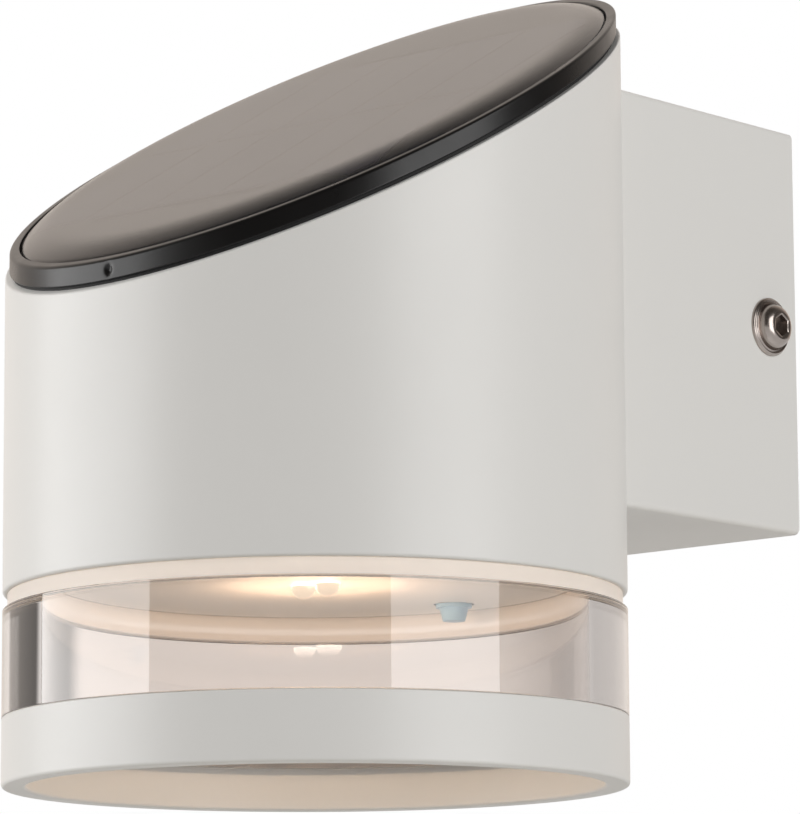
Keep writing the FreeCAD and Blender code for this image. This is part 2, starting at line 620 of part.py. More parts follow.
def lamp(x):
    """Round lamp with a flange on the deck and two legs through the lamp board."""
    top = Z_DECK + LAMP_FLANGE_HEIGHT
    tip = top - LAMP_LENGTH
    body = cylinder(LAMP_RADIUS, tip + LAMP_RADIUS, top, x)
    dome = Part.makeSphere(LAMP_RADIUS, V(x, Y_AXIS, tip + LAMP_RADIUS))
    flange = cylinder(LAMP_FLANGE_RADIUS, Z_DECK, top, x)
    solid = body.fuse([dome, flange])
    for dy in (-LEAD_PITCH / 2, LEAD_PITCH / 2):
        solid = solid.fuse(cylinder(LEAD_RADIUS, top, Z_BOARD_TOP + LEAD_STAND, x, Y_AXIS + dy))
    return solid.removeSplitter()


def lamp_board():
    """Small board over the deck: it carries lamps, push switch and lead socket."""
    half = LAMP_BOARD_WIDTH / 2
    board = rounded_box(-half, half, Y_AXIS - LAMP_BOARD_FRONT, Y_AXIS + LAMP_BOARD_BACK,
                        Z_BOARD, Z_BOARD_TOP, BOARD_CORNER)
    for x in lamp_places():
        for dy in (-LEAD_PITCH / 2, LEAD_PITCH / 2):
            board = board.cut(cylinder(LEAD_RADIUS + GLUE_GAP, Z_BOARD, Z_BOARD_TOP, x, Y_AXIS + dy))
    for x, y in board_posts():
        board = board.cut(cylinder(BOARD_SCREW_RADIUS + SCREW_HOLE_GAP, Z_BOARD, Z_BOARD_TOP, x, y))
    return board


def board_screws():
    """Two screws that hold the lamp board on the deck's posts."""
    screw = pan_screw(BOARD_SCREW_RADIUS - GLUE_GAP, BOARD_SCREW_LENGTH,
                      BOARD_SCREW_HEAD_RADIUS, BOARD_SCREW_HEAD_HEIGHT)
    return group([placed(screw, V(x, y, Z_BOARD_TOP), UP) for x, y in board_posts()])


def lamp_resistors():
    """One lying resistor for each lamp, in front of the board screws."""
    y = Y_AXIS + BOARD_POST_BACK / 2
    solids = []
    for x in lamp_places():
        start = V(x - RESISTOR_LENGTH / 2, y, Z_BOARD_TOP + RESISTOR_RADIUS)
        body = Part.makeCylinder(RESISTOR_RADIUS, RESISTOR_LENGTH, start, SIDE)
        ends = [e for e in body.Edges if e.BoundBox.XLength < 0.01]
        solids.append(body.makeFillet(RESISTOR_ROUND, ends))
    return group(solids)


def lead_socket():
    """Open-topped socket at the back of the lamp board."""
    half_w = PLUG_WIDTH / 2 + SOCKET_WALL
    half_d = PLUG_DEPTH / 2 + SOCKET_WALL
    outer = box(-half_w, half_w, Y_SOCKET - half_d, Y_SOCKET + half_d,
                Z_BOARD_TOP, Z_BOARD_TOP + SOCKET_HEIGHT)
    gap = LIFT_GAP / 2
    room = box(-PLUG_WIDTH / 2 - gap, PLUG_WIDTH / 2 + gap, Y_SOCKET - PLUG_DEPTH / 2 - gap,
               Y_SOCKET + PLUG_DEPTH / 2 + gap, Z_PLUG, Z_BOARD_TOP + SOCKET_HEIGHT)
    return outer.cut(room)


# ---- push switch ----
def switch_body():
    """Switch case under the lamp board, hollow for the plunger's head and its spring."""
    half = SWITCH_SIZE / 2
    low = Z_DECK + SWITCH_DECK_GAP
    case = rounded_box(-half, half, Y_SWITCH - half, Y_SWITCH + half, low, Z_BOARD, SWITCH_ROUND)
    room = cylinder(PLUNGER_HEAD_RADIUS + CAP_HOLE_GAP, low + SWITCH_WALL, Z_BOARD - SWITCH_WALL,
                    0, Y_SWITCH)
    neck = cylinder(PLUNGER_RADIUS + SLIDE_GAP, low, low + SWITCH_WALL, 0, Y_SWITCH)
    return case.cut(room.fuse(neck))


def plunger_shoulder():
    """Height of the plunger head's underside, resting on the case's floor."""
    return Z_DECK + SWITCH_DECK_GAP + SWITCH_WALL


def switch_plunger():
    """Plunger with its stop head inside the case and its stem down into the cap."""
    shoulder = plunger_shoulder()
    stem = cylinder(PLUNGER_RADIUS, Z_CEILING, shoulder, 0, Y_SWITCH)
    head = cylinder(PLUNGER_HEAD_RADIUS, shoulder, shoulder + PLUNGER_HEAD_HEIGHT, 0, Y_SWITCH)
    return stem.fuse(head).removeSplitter()


def switch_spring():
    """Return spring between the plunger's head and the case's roof."""
    low = plunger_shoulder() + PLUNGER_HEAD_HEIGHT
    spring = coil(PLUNGER_RADIUS, SPRING_WIRE, SPRING_TURNS, Z_BOARD - SWITCH_WALL - low)
    spring.translate(V(0, Y_SWITCH, low))
    return spring


def switch_cap():
    """Blue cap on the plunger, standing below the ceiling, tapered to its tip."""
    tip = Z_CEILING - CAP_DROP
    shoulder = Z_CEILING - CAP_FLANGE_HEIGHT
    profile = [(0, tip), (CAP_TIP_RADIUS, tip), (CAP_BODY_RADIUS, shoulder),
               (CAP_TOP_RADIUS, shoulder), (CAP_TOP_RADIUS, Z_CEILING), (0, Z_CEILING)]
    return turned(profile, V(0, Y_SWITCH, 0), UP, UP)


# ---- solar head ----
def bezel_gasket():
    """Thin black seal between the tube's slanted edge and the bezel."""
    return slant_ring(TUBE_RADIUS - GASKET_INSET, HEAD_RADIUS + LIFT_GAP / 2, 0, GASKET_THICK)


def top_bezel():
    """Black bezel: a thin rim on the slant, a ledge for the panel and a skirt in the tube."""
    rim = slant_ring(BEZEL_RADIUS, BEZEL_BORE, BOARD_LOW, BEZEL_TOP)
    ledge = slant_ring(BEZEL_RADIUS, SKIRT_BORE, GASKET_THICK, BOARD_LOW)
    skirt = slant_ring(HEAD_RADIUS, SKIRT_BORE, -SKIRT_DEPTH, GASKET_THICK)
    bezel = rim.fuse([ledge, skirt]).removeSplitter()
    front = Y_AXIS - BEZEL_RADIUS
    middle = cut_height(front) + GASKET_THICK + BEZEL_THICK / 2
    notch = box(-NOTCH_WIDTH / 2, NOTCH_WIDTH / 2, front - 1, front + NOTCH_DEPTH,
                middle - NOTCH_HEIGHT / 2, middle + NOTCH_HEIGHT / 2)
    bezel = bezel.cut(notch)
    for origin, direction in tray_screw_places():
        depth = TRAY_SCREW_LENGTH + TRAY_SCREW_END_ROOM
        bezel = bezel.cut(Part.makeCylinder(TRAY_SCREW_RADIUS, depth, origin, -direction))
    return bezel


def cell_rectangles():
    """Plan rectangles of the solar cells: columns across, rows up the slant."""
    width = (CELL_FIELD_X - (CELL_COLUMNS - 1) * CELL_GAP) / CELL_COLUMNS
    depth = (CELL_FIELD_Y - (CELL_ROWS - 1) * CELL_GAP) / CELL_ROWS
    places = []
    for row in range(CELL_ROWS):
        for column in range(CELL_COLUMNS):
            x = -CELL_FIELD_X / 2 + column * (width + CELL_GAP)
            y = Y_AXIS - CELL_FIELD_Y / 2 + row * (depth + CELL_GAP)
            places.append((x, x + width, y, y + depth))
    return places


def solar_cells():
    """Dark cells on the panel board, cut to the panel's round."""
    low = cut_height(Y_AXIS - TUBE_RADIUS)
    high = cut_height(Y_AXIS + TUBE_RADIUS)
    field = slant_disc(PANEL_RADIUS - 2 * CELL_GAP, BOARD_HIGH, BOARD_HIGH + CELL_THICK)
    cells = [field.common(box(x0, x1, y0, y1, low, high)) for x0, x1, y0, y1 in cell_rectangles()]
    return group([solid for cell in cells for solid in cell.Solids])


def cell_ribbons():
    """Thin ribbons along the cells' front and back edges, on the panel board."""
    low = cut_height(Y_AXIS - TUBE_RADIUS)
    high = cut_height(Y_AXIS + TUBE_RADIUS)
    solids = []
    reach = CELL_FIELD_Y / 2 + CELL_GAP / 2
    for y in (Y_AXIS - reach - RIBBON_WIDTH, Y_AXIS + reach):
        band = box(-CELL_FIELD_X / 4, CELL_FIELD_X / 4, y, y + RIBBON_WIDTH, low, high)
        solids += band.common(slant_slab(BOARD_HIGH, BOARD_HIGH + RIBBON_THICK)).Solids
    return group(solids)


def panel_board():
    """Board under the solar cells, on the bezel's ledge."""
    return slant_disc(BEZEL_BORE - GLUE_GAP, BOARD_LOW, BOARD_HIGH)


def slant_normal():
    """Unit vector square to the slanted cut, pointing up and out of the light."""
    angle = math.radians(SLANT_DEG)
    return V(0, -math.sin(angle), math.cos(angle))


def leant(solid):
    """A solid built upright on the Z axis, leant into the cut: heights become heights over the cut."""
    lean = FreeCAD.Matrix()
    lean.A24 = Y_AXIS
    lean.A32 = TAN_SLANT
    lean.A34 = Z_CUT
    return solid.transformGeometry(lean)


def panel_dome():
    """Clear cast resin over the cells: an upright rim, a rolled edge and a flat top."""
    top = BOARD_HIGH + DOME_EDGE + DOME_RISE
    flat = PANEL_RADIUS - DOME_ROLL
    side = PANEL_RADIUS + DOME_EDGE
    foot = top - DOME_RISE * ((side - flat) / DOME_ROLL) ** 2
    low = BOARD_HIGH - DOME_EDGE
    roll = Part.BezierCurve()
    roll.setPoles([V(flat, 0, top), V((flat + side) / 2, 0, top), V(side, 0, foot)])
    corners = [V(side, 0, foot), V(side, 0, low), V(0, 0, low), V(0, 0, top), V(flat, 0, top)]
    section = Part.Wire([roll.toShape()] + Part.makePolygon(corners).Edges)
    rolled = leant(Part.Face(section).revolve(V(0, 0, 0), UP, 360))
    dome = slant_disc(PANEL_RADIUS, BOARD_HIGH, top + DOME_RISE).common(rolled)
    return dome.cut(solar_cells().Solids + cell_ribbons().Solids)


def bay_solid(grow):
    """Battery bay, open below; grow adds the wall on every other side."""
    return box(BAY_LOW_X - grow, BAY_HIGH_X + grow, Y_BATTERY - BAY_HALF_DEPTH - grow,
               Y_BATTERY + BAY_HALF_DEPTH + grow, Z_TRAY, Z_SHELF + grow)


def board_bay(shrink):
    """Space for the control board, up to the slanted plate; shrink leaves its walls."""
    half = BOARD_BAY_WIDTH / 2 - shrink
    top = cut_height(Y_AXIS + BOARD_BAY_BACK)
    return box(-half, half, Y_BATTERY - BAY_HALF_DEPTH - TRAY_WALL + shrink,
               Y_AXIS + BOARD_BAY_BACK - shrink, Z_SHELF + shrink, top)


def tray_screw_places():
    """Each tray screw's head seat under the plate, and its direction out of the head."""
    into_skirt = TRAY_SCREW_LENGTH / 2
    places = []
    for degrees in TRAY_SCREW_ANGLES:
        x, y = polar(TRAY_SCREW_CIRCLE, degrees)
        lift = into_skirt / math.cos(math.radians(SLANT_DEG))
        middle = V(x, y, cut_height(y) + TRAY_LOW + lift)
        places.append((middle - slant_normal() * into_skirt, -slant_normal()))
    return places


def head_tray():
    """Black tray under the panel: slanted plate, battery bay below, board bay above."""
    plate = slant_disc(HEAD_RADIUS, TRAY_LOW, TRAY_TOP)
    below = slant_slab(-REACH, TRAY_TOP)
    shell = bay_solid(TRAY_WALL).common(below).fuse(board_bay(0).common(below))
    tray = plate.fuse(shell).removeSplitter()
    tray = tray.cut(board_bay(TRAY_WALL)).cut(bay_solid(0))
    for x in (-CONTROL_SCREW_SPACING / 2, CONTROL_SCREW_SPACING / 2):
        low = Z_SHELF + TRAY_WALL / 2
        tray = tray.fuse(cylinder(CONTROL_POST_RADIUS, low, Z_CONTROL, x, Y_CONTROL_SCREW))
        tray = tray.cut(cylinder(BOARD_SCREW_RADIUS, low, Z_CONTROL, x, Y_CONTROL_SCREW))
    window = WIRE_PITCH / 2 + 3 * WIRE_RADIUS
    back = Y_AXIS + BOARD_BAY_BACK
    tray = tray.cut(box(-window, window, back - 2 * TRAY_WALL, back + 1,
                        Z_WIRE - 3 * WIRE_RADIUS, Z_WIRE + 3 * WIRE_RADIUS))
    way = box(-window, window, Y_SOCKET - 3 * WIRE_RADIUS, Y_SOCKET + 3 * WIRE_RADIUS,
              Z_TRAY, cut_height(Y_SOCKET) + TRAY_TOP)
    tray = tray.cut(way.common(slant_slab(TRAY_LOW, TRAY_TOP)))
    for origin, direction in tray_screw_places():
        hole = TRAY_SCREW_RADIUS + SCREW_HOLE_GAP
        tray = tray.cut(Part.makeCylinder(hole, 2 * TRAY_PLATE_THICK, origin, -direction))
    return tray


def tray_screws():
    """Three screws up through the tray's plate into the bezel's skirt."""
    screw = pan_screw(TRAY_SCREW_RADIUS - GLUE_GAP, TRAY_SCREW_LENGTH,
                      TRAY_SCREW_HEAD_RADIUS, TRAY_SCREW_HEAD_HEIGHT)
    return group([placed(screw, origin, direction) for origin, direction in tray_screw_places()])


def control_board():
    """Charging board over the battery."""
    half = CONTROL_BOARD_WIDTH / 2
    board = rounded_box(-half, half, Y_AXIS + CONTROL_BOARD_FRONT, Y_AXIS + CONTROL_BOARD_BACK,
                        Z_CONTROL, Z_CONTROL_TOP, BOARD_CORNER)
    for x in (-CONTROL_SCREW_SPACING / 2, CONTROL_SCREW_SPACING / 2):
        hole = cylinder(BOARD_SCREW_RADIUS + SCREW_HOLE_GAP, Z_CONTROL, Z_CONTROL_TOP,
                        x, Y_CONTROL_SCREW)
        board = board.cut(hole)
    return board


def control_screws():
    """Two screws that hold the charging board."""
    length = CONTROL_STAND + BOARD_THICK
    screw = pan_screw(BOARD_SCREW_RADIUS - GLUE_GAP, length,
                      BOARD_SCREW_HEAD_RADIUS, BOARD_SCREW_HEAD_HEIGHT)
    return group([placed(screw, V(x, Y_CONTROL_SCREW, Z_CONTROL_TOP), UP)
                  for x in (-CONTROL_SCREW_SPACING / 2, CONTROL_SCREW_SPACING / 2)])


def round_above(solid, height):
    """The solid with every edge that lies wholly above a height rounded."""
    edges = [e for e in solid.Edges if e.BoundBox.ZMin > height + SMALL_ROUND]
    return solid.makeFillet(SMALL_ROUND, edges)


def control_parts():
    """Charging chip, coil and capacitor on the charging board."""
    y = Y_AXIS + CONTROL_BOARD_BACK / 2
    top = Z_CONTROL_TOP
    chip = box(-CHIP_WIDTH / 2, CHIP_WIDTH / 2, y - CHIP_DEPTH / 2, y + CHIP_DEPTH / 2,
               top, top + CHIP_HEIGHT)
    choke = cylinder(CHOKE_RADIUS, top, top + CHOKE_HEIGHT, -CONTROL_PART_SPACING, y)
    can = cylinder(CAN_RADIUS, top, top + CAN_HEIGHT, CONTROL_PART_SPACING, y)
    return group([chip] + [round_above(part, top) for part in (choke, can)])


def battery():
    """Rechargeable cell: shrunk sleeve with rounded ends and the positive nub."""
    low, high = V(-BATTERY_END, Y_BATTERY, Z_BATTERY), V(BATTERY_END, Y_BATTERY, Z_BATTERY)
    body = Part.makeCylinder(BATTERY_RADIUS, BATTERY_LENGTH, low, SIDE)
    body = body.makeFillet(BATTERY_ROUND, [e for e in body.Edges if e.BoundBox.XLength < 0.01])
    return body.fuse(Part.makeCylinder(BATTERY_NUB_RADIUS, BATTERY_NUB_LENGTH, high, SIDE))


def battery_spring():
    """Coil contact on the negative end."""
    spring = coil(CONTACT_SPRING_RADIUS, CONTACT_SPRING_WIRE, CONTACT_SPRING_TURNS,
                  CONTACT_SPRING_LENGTH)
    return placed(spring, V(BAY_LOW_X, Y_BATTERY, Z_BATTERY), SIDE)


def battery_plate():
    """Flat contact on the positive end."""
    half = CONTACT_PLATE_SIZE / 2
    return box(BAY_HIGH_X - CONTACT_PLATE_THICK, BAY_HIGH_X, Y_BATTERY - half, Y_BATTERY + half,
               Z_BATTERY - half, Z_BATTERY + half)


def lead_plug():
    """Plug on the lamp leads, seated in the lamp board's socket."""
    half_w, half_d = PLUG_WIDTH / 2, PLUG_DEPTH / 2
    solid = box(-half_w, half_w, Y_SOCKET - half_d, Y_SOCKET + half_d, Z_PLUG, Z_PLUG + PLUG_HEIGHT)
    return round_above(solid, Z_PLUG)


def lamp_leads():
    """Two leads from the plug up behind the tray, through its window, down to the charging board."""
    leads = []
    for x in (-WIRE_PITCH / 2, WIRE_PITCH / 2):
        points = [V(x, Y_SOCKET, Z_PLUG + PLUG_HEIGHT), V(x, Y_SOCKET, Z_WIRE),
                  V(x, Y_LEAD_END, Z_WIRE), V(x, Y_LEAD_END, Z_CONTROL_TOP)]
        leads.append(wire_run(points, WIRE_RADIUS, WIRE_BEND))
    return group(leads)


def panel_leads():
    """Two leads from the panel board down to the charging board."""
    solids = []
    for x in (-CONTROL_BOARD_WIDTH / 3, CONTROL_BOARD_WIDTH / 3):
        y = Y_AXIS + CONTROL_BOARD_BACK - 3 * WIRE_RADIUS
        lead = cylinder(WIRE_RADIUS, Z_CONTROL_TOP, cut_height(y + WIRE_RADIUS) + BOARD_LOW, x, y)
        solids.append(lead.common(slant_slab(-REACH, BOARD_LOW)))
    return group(solids)


NODES = {
    "body_tube": body_tube,
    "arm_box": arm_box,
    "arm_screws": arm_screws,
    "arm_nuts": arm_nuts,
    "wall_plate": wall_plate,
    "plate_nuts": plate_nuts,
    "side_screw_right": lambda: side_screw(1),
    "side_screw_left": lambda: side_screw(-1),
    "lamp_deck": lamp_deck,
    "neck_ring": neck_ring,
    "deck_screws": deck_screws,
    "clear_ring": clear_ring,
    "lower_ring": lower_ring,
    "lamp_right": lambda: lamp(lamp_places()[1]),
    "lamp_left": lambda: lamp(lamp_places()[0]),
    "lamp_board": lamp_board,
    "board_screws": board_screws,
    "lamp_resistors": lamp_resistors,
    "lead_socket": lead_socket,
    "switch_body": switch_body,
    "switch_plunger": switch_plunger,
    "switch_spring": switch_spring,
    "switch_cap": switch_cap,
    "bezel_gasket": bezel_gasket,
    "top_bezel": top_bezel,
    "solar_cells": solar_cells,
    "cell_ribbons": cell_ribbons,
    "panel_board": panel_board,
    "panel_dome": panel_dome,
    "head_tray": head_tray,
    "tray_screws": tray_screws,
    "control_board": control_board,
    "control_screws": control_screws,
    "control_parts": control_parts,
    "battery": battery,
    "battery_spring": battery_spring,
    "battery_plate": battery_plate,
    "lead_plug": lead_plug,
    "lamp_leads": lamp_leads,
    "panel_leads": panel_leads,
}


def main():
    """Write one file for each piece or group of like pieces."""
    os.makedirs("parts", exist_ok=True)
    for name, make in NODES.items():
        shape = make()
        shape.exportStep("parts/" + name + ".step")
        size = shape.optimalBoundingBox(False, False)
        print(name, len(shape.Solids), "solids, valid", shape.isValid(), "volume", round(shape.Volume, 1),
              "x %.2f %.2f y %.2f %.2f z %.2f %.2f" % (size.XMin, size.XMax, size.YMin, size.YMax,
                                                       size.ZMin, size.ZMax))


main()
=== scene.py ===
"""Looks of the solar fence light: fine shells, finishes, studio light and camera.

Metres, in the packed parts' own frame: +Z up, +Y into the wall, the wall plane at y = 0.
"""
import math

import bmesh
import bpy
import numpy as np
from bpy.props import FloatProperty, FloatVectorProperty, IntProperty, PointerProperty
from mathutils import Matrix, Vector


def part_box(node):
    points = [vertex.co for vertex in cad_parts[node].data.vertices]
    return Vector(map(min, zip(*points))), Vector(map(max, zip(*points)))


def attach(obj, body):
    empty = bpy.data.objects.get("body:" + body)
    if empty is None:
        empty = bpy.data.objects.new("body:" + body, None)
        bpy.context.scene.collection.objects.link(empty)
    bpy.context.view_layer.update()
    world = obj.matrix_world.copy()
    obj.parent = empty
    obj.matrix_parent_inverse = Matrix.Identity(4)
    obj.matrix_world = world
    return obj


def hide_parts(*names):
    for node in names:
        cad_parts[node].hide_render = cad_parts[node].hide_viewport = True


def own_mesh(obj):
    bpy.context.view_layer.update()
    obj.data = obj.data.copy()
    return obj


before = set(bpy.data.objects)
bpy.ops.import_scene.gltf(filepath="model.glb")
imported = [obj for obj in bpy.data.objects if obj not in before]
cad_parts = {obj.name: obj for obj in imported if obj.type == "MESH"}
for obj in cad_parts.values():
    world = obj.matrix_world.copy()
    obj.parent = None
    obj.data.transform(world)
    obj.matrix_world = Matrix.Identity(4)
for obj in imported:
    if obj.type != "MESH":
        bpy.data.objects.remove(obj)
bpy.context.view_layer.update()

bl_info = {
    "name": "Solar fence light looks",
    "version": (1, 0, 0),
    "blender": (4, 5, 0),
    "location": "3D View > Sidebar > Fence light",
    "description": "Builds the shells, finishes, lamps and studio stage of a solar fence light",
    "category": "Object",
}

MM = 0.001
MERGE = 1e-7
TINY = 1e-6
FRONT_TURN = 1.5 * math.pi
GLUE_GAP = 0.05 * MM
LIGHT_DROP = 2.0 * MM

# ---- tabs in the tube that carry the lamp deck ----
TAB_ANGLES = (30.0, 150.0, 270.0)
TAB_CIRCLE = 29.5 * MM
TAB_RADIUS = 4.2 * MM
TAB_HOLE = 1.75 * MM
TAB_LOW = -29.0 * MM
TAB_THICK = 2.5 * MM

# ---- side screws: an M4 shank, and heights as shares of the head's height ----
SHANK_RADIUS = 2.0 * MM
SHANK_TIP = 0.5 * MM
SOCKET_LIP = 0.12 * MM
SOCKET_BREAK = 0.1 * MM
FLANGE_END = 0.97
DOME_FOOT = 0.34
FLANGE_FOOT = 0.20
RIDGE_RISE = 0.07
RIM_HEIGHT = 0.12

# ---- places and sizes read from the packed parts ----
TUBE_LOW, TUBE_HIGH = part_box("body_tube")
GASKET_LOW, GASKET_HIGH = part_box("bezel_gasket")
BEZEL_LOW, BEZEL_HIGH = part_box("top_bezel")
TRAY_LOW, TRAY_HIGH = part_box("head_tray")
BOARD_LOW, BOARD_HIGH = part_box("panel_board")
DOME_LOW, DOME_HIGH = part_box("panel_dome")
CLEAR_LOW, CLEAR_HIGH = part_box("clear_ring")
NECK_LOW, NECK_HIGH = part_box("neck_ring")
FOOT_LOW, FOOT_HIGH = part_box("lower_ring")
ARM_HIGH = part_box("arm_box")[1]
DECK_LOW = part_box("lamp_deck")[0]
LAMP_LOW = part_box("lamp_right")[0]
SCREW_LOW, SCREW_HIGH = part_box("side_screw_right")


def half_width(low, high):
    """Radius of a round part from its lowest and highest corner."""
    return (high.x - low.x) / 2


TUBE_RADIUS = half_width(TUBE_LOW, TUBE_HIGH)
AXIS_Y = (TUBE_LOW.y + TUBE_HIGH.y) / 2
GASKET_RADIUS = half_width(GASKET_LOW, GASKET_HIGH)
BEZEL_RADIUS = half_width(BEZEL_LOW, BEZEL_HIGH)
HEAD_RADIUS = half_width(TRAY_LOW, TRAY_HIGH)
LEDGE_RADIUS = half_width(BOARD_LOW, BOARD_HIGH)
DOME_RADIUS = half_width(DOME_LOW, DOME_HIGH)
NECK_RADIUS = half_width(NECK_LOW, NECK_HIGH)

# The slanted cut: its height on the axis and its rise along +Y; the heights after it lie over it.
SLOPE = (TUBE_HIGH.z - GASKET_LOW.z) / (TUBE_RADIUS + GASKET_RADIUS)
CUT_Z = TUBE_HIGH.z - SLOPE * TUBE_RADIUS
BEZEL_TOP = BEZEL_HIGH.z - CUT_Z - SLOPE * BEZEL_RADIUS
GASKET_TOP = GASKET_HIGH.z - CUT_Z - SLOPE * GASKET_RADIUS
SKIRT_LOW = BEZEL_LOW.z - CUT_Z + SLOPE * HEAD_RADIUS
BOARD_TOP = BOARD_HIGH.z - CUT_Z - SLOPE * LEDGE_RADIUS
BOARD_FOOT = BOARD_LOW.z - CUT_Z + SLOPE * LEDGE_RADIUS


# ---- sizes and colours that a user may change ----
class ShellSettings(bpy.types.PropertyGroup):
    """White shells: tube, arm and foot ring."""
    paint: FloatVectorProperty(name="Paint", description="Colour of the powder coat",
                               subtype="COLOR", default=(0.80, 0.785, 0.755), min=0, max=1)
    tube_wall: FloatProperty(name="Tube wall", description="Thickness of the tube", unit="LENGTH",
                             default=1.8 * MM, min=MM)
    foot_wall: FloatProperty(name="Foot ring wall", description="Thickness of the foot ring",
                             unit="LENGTH", default=3.0 * MM, min=MM)
    edge_round: FloatProperty(name="Edge round", description="Rounding of the painted edges",
                              unit="LENGTH", default=0.4 * MM, min=0)
    turns: IntProperty(name="Turns", description="Patches round the tube", default=320, min=32)
    socket_flats: FloatProperty(name="Socket", description="Side screws' hexagon across its flats",
                                unit="LENGTH", default=2.5 * MM, min=0.5 * MM)
    socket_depth: FloatProperty(name="Socket depth", description="Depth of that hexagon",
                                unit="LENGTH", default=1.3 * MM, min=0.1 * MM)
    flange_share: FloatProperty(name="Flange share",
                                description="Where the side screws' dome meets their flange",
                                subtype="FACTOR", default=0.76, min=0.5, max=0.9)
    ridges: IntProperty(name="Ridges", description="Rings turned in the side screws' flange",
                        default=2, min=0)


class GlowSettings(bpy.types.PropertyGroup):
    """Clear ring, frosted neck and lamps."""
    clear_wall: FloatProperty(name="Clear ring wall", description="Thickness of the clear ring",
                              unit="LENGTH", default=4.7 * MM, min=MM)
    bevel: FloatProperty(name="Clear ring bevel", description="Slanted edge at its top",
                         unit="LENGTH", default=0.1 * MM, min=0)
    tongue: FloatProperty(name="Tongue", description="Height of the tongue into the neck",
                          unit="LENGTH", default=0.9 * MM, min=0)
    tongue_width: FloatProperty(name="Tongue width", description="Width of the tongue",
                                unit="LENGTH", default=1.4 * MM, min=0)
    spigot: FloatProperty(name="Spigot", description="Depth of the clear ring in the foot ring",
                          unit="LENGTH", default=3.0 * MM, min=0)
    collar: FloatProperty(name="Collar", description="Height of the neck inside the tube",
                          unit="LENGTH", default=1.1 * MM, min=0)
    warmth: FloatVectorProperty(name="Lamp colour", description="Colour of the lamps' own glow",
                                subtype="COLOR", default=(1.0, 0.81, 0.61), min=0, max=1)
    lamp_glow: FloatProperty(name="Lamp glow", description="Strength of the lamps' own surface",
                             default=14.0, min=0)
    lamp_power: FloatProperty(name="Lamp power", description="Light that each lamp throws down",
                              subtype="POWER", default=0.0074, min=0)
    thrown: FloatVectorProperty(name="Thrown colour", description="Colour of that light",
                                subtype="COLOR", default=(1.0, 0.72, 0.49), min=0, max=1)
    # Painted light: the neck's emission stands in for the lamps' light shining through the frosted
    # band; the neck itself is no lamp.
    painted_neck_glow: FloatProperty(name="Neck glow", description="Light that leaves the frosted neck",
                             default=0.14, min=0)
    tint: FloatVectorProperty(name="Clear ring tint", description="Faint warm smoke in the acrylic",
                              subtype="COLOR", default=(0.85, 0.795, 0.76), min=0, max=1)


class HeadSettings(bpy.types.PropertyGroup):
    """Black bezel and crowned panel."""
    land: FloatProperty(name="Bezel land", description="Width of the bezel's visible rim",
                        unit="LENGTH", default=1.2 * MM, min=0.5 * MM)
    skirt_wall: FloatProperty(name="Skirt wall", description="Thickness of the skirt in the tube",
                              unit="LENGTH", default=4.4 * MM, min=MM)
    bezel_round: FloatProperty(name="Bezel round", description="Rounding of its outer edges",
                               unit="LENGTH", default=0.35 * MM, min=0)
    notch_width: FloatProperty(name="Notch width", description="Width of the mark at the front",
                               unit="LENGTH", default=1.0 * MM, min=0)
    notch_place: FloatProperty(name="Notch place", description="The mark's place round the rim",
                               unit="LENGTH", default=1.8 * MM)
    notch_height: FloatProperty(name="Notch height", description="Height of the mark at the front",
                                unit="LENGTH", default=1.2 * MM, min=0)
    notch_depth: FloatProperty(name="Notch depth", description="Depth of the mark at the front",
                               unit="LENGTH", default=0.35 * MM, min=0)
    rim: FloatProperty(name="Resin rim", description="Upright edge of the resin over its board",
                       unit="LENGTH", default=0.8 * MM, min=0)
    rise: FloatProperty(name="Resin rise", description="Flat top of the resin over its rim",
                        unit="LENGTH", default=1.3 * MM, min=0)
    roll: FloatProperty(name="Resin roll", description="Width of the resin's rolled edge",
                        unit="LENGTH", default=5.0 * MM, min=0)


class StageSettings(bpy.types.PropertyGroup):
    """Camera, floor and studio light."""
    lens: FloatProperty(name="Lens", description="Focal length on a 36 mm frame",
                        subtype="DISTANCE_CAMERA", default=201.8, min=10)
    floor_drop: FloatProperty(name="Floor drop", description="Floor below the wall plate's middle",
                              unit="LENGTH", default=1.1, min=0.1)
    left_glow: FloatProperty(name="Left softbox", description="Brightness of the left softbox",
                             default=2.95, min=0)
    right_glow: FloatProperty(name="Right softbox", description="Brightness of the right softbox",
                              default=2.55, min=0)
    ambient: FloatProperty(name="Ambient", description="Brightness of the room",
                           default=0.255, min=0)
    bounce_glow: FloatProperty(name="Floor bounce", description="Warm light from the floor",
                               default=0.2, min=0)


SETTINGS = {"fence_shells": ShellSettings, "fence_glow": GlowSettings, "fence_head": HeadSettings,
            "fence_stage": StageSettings}


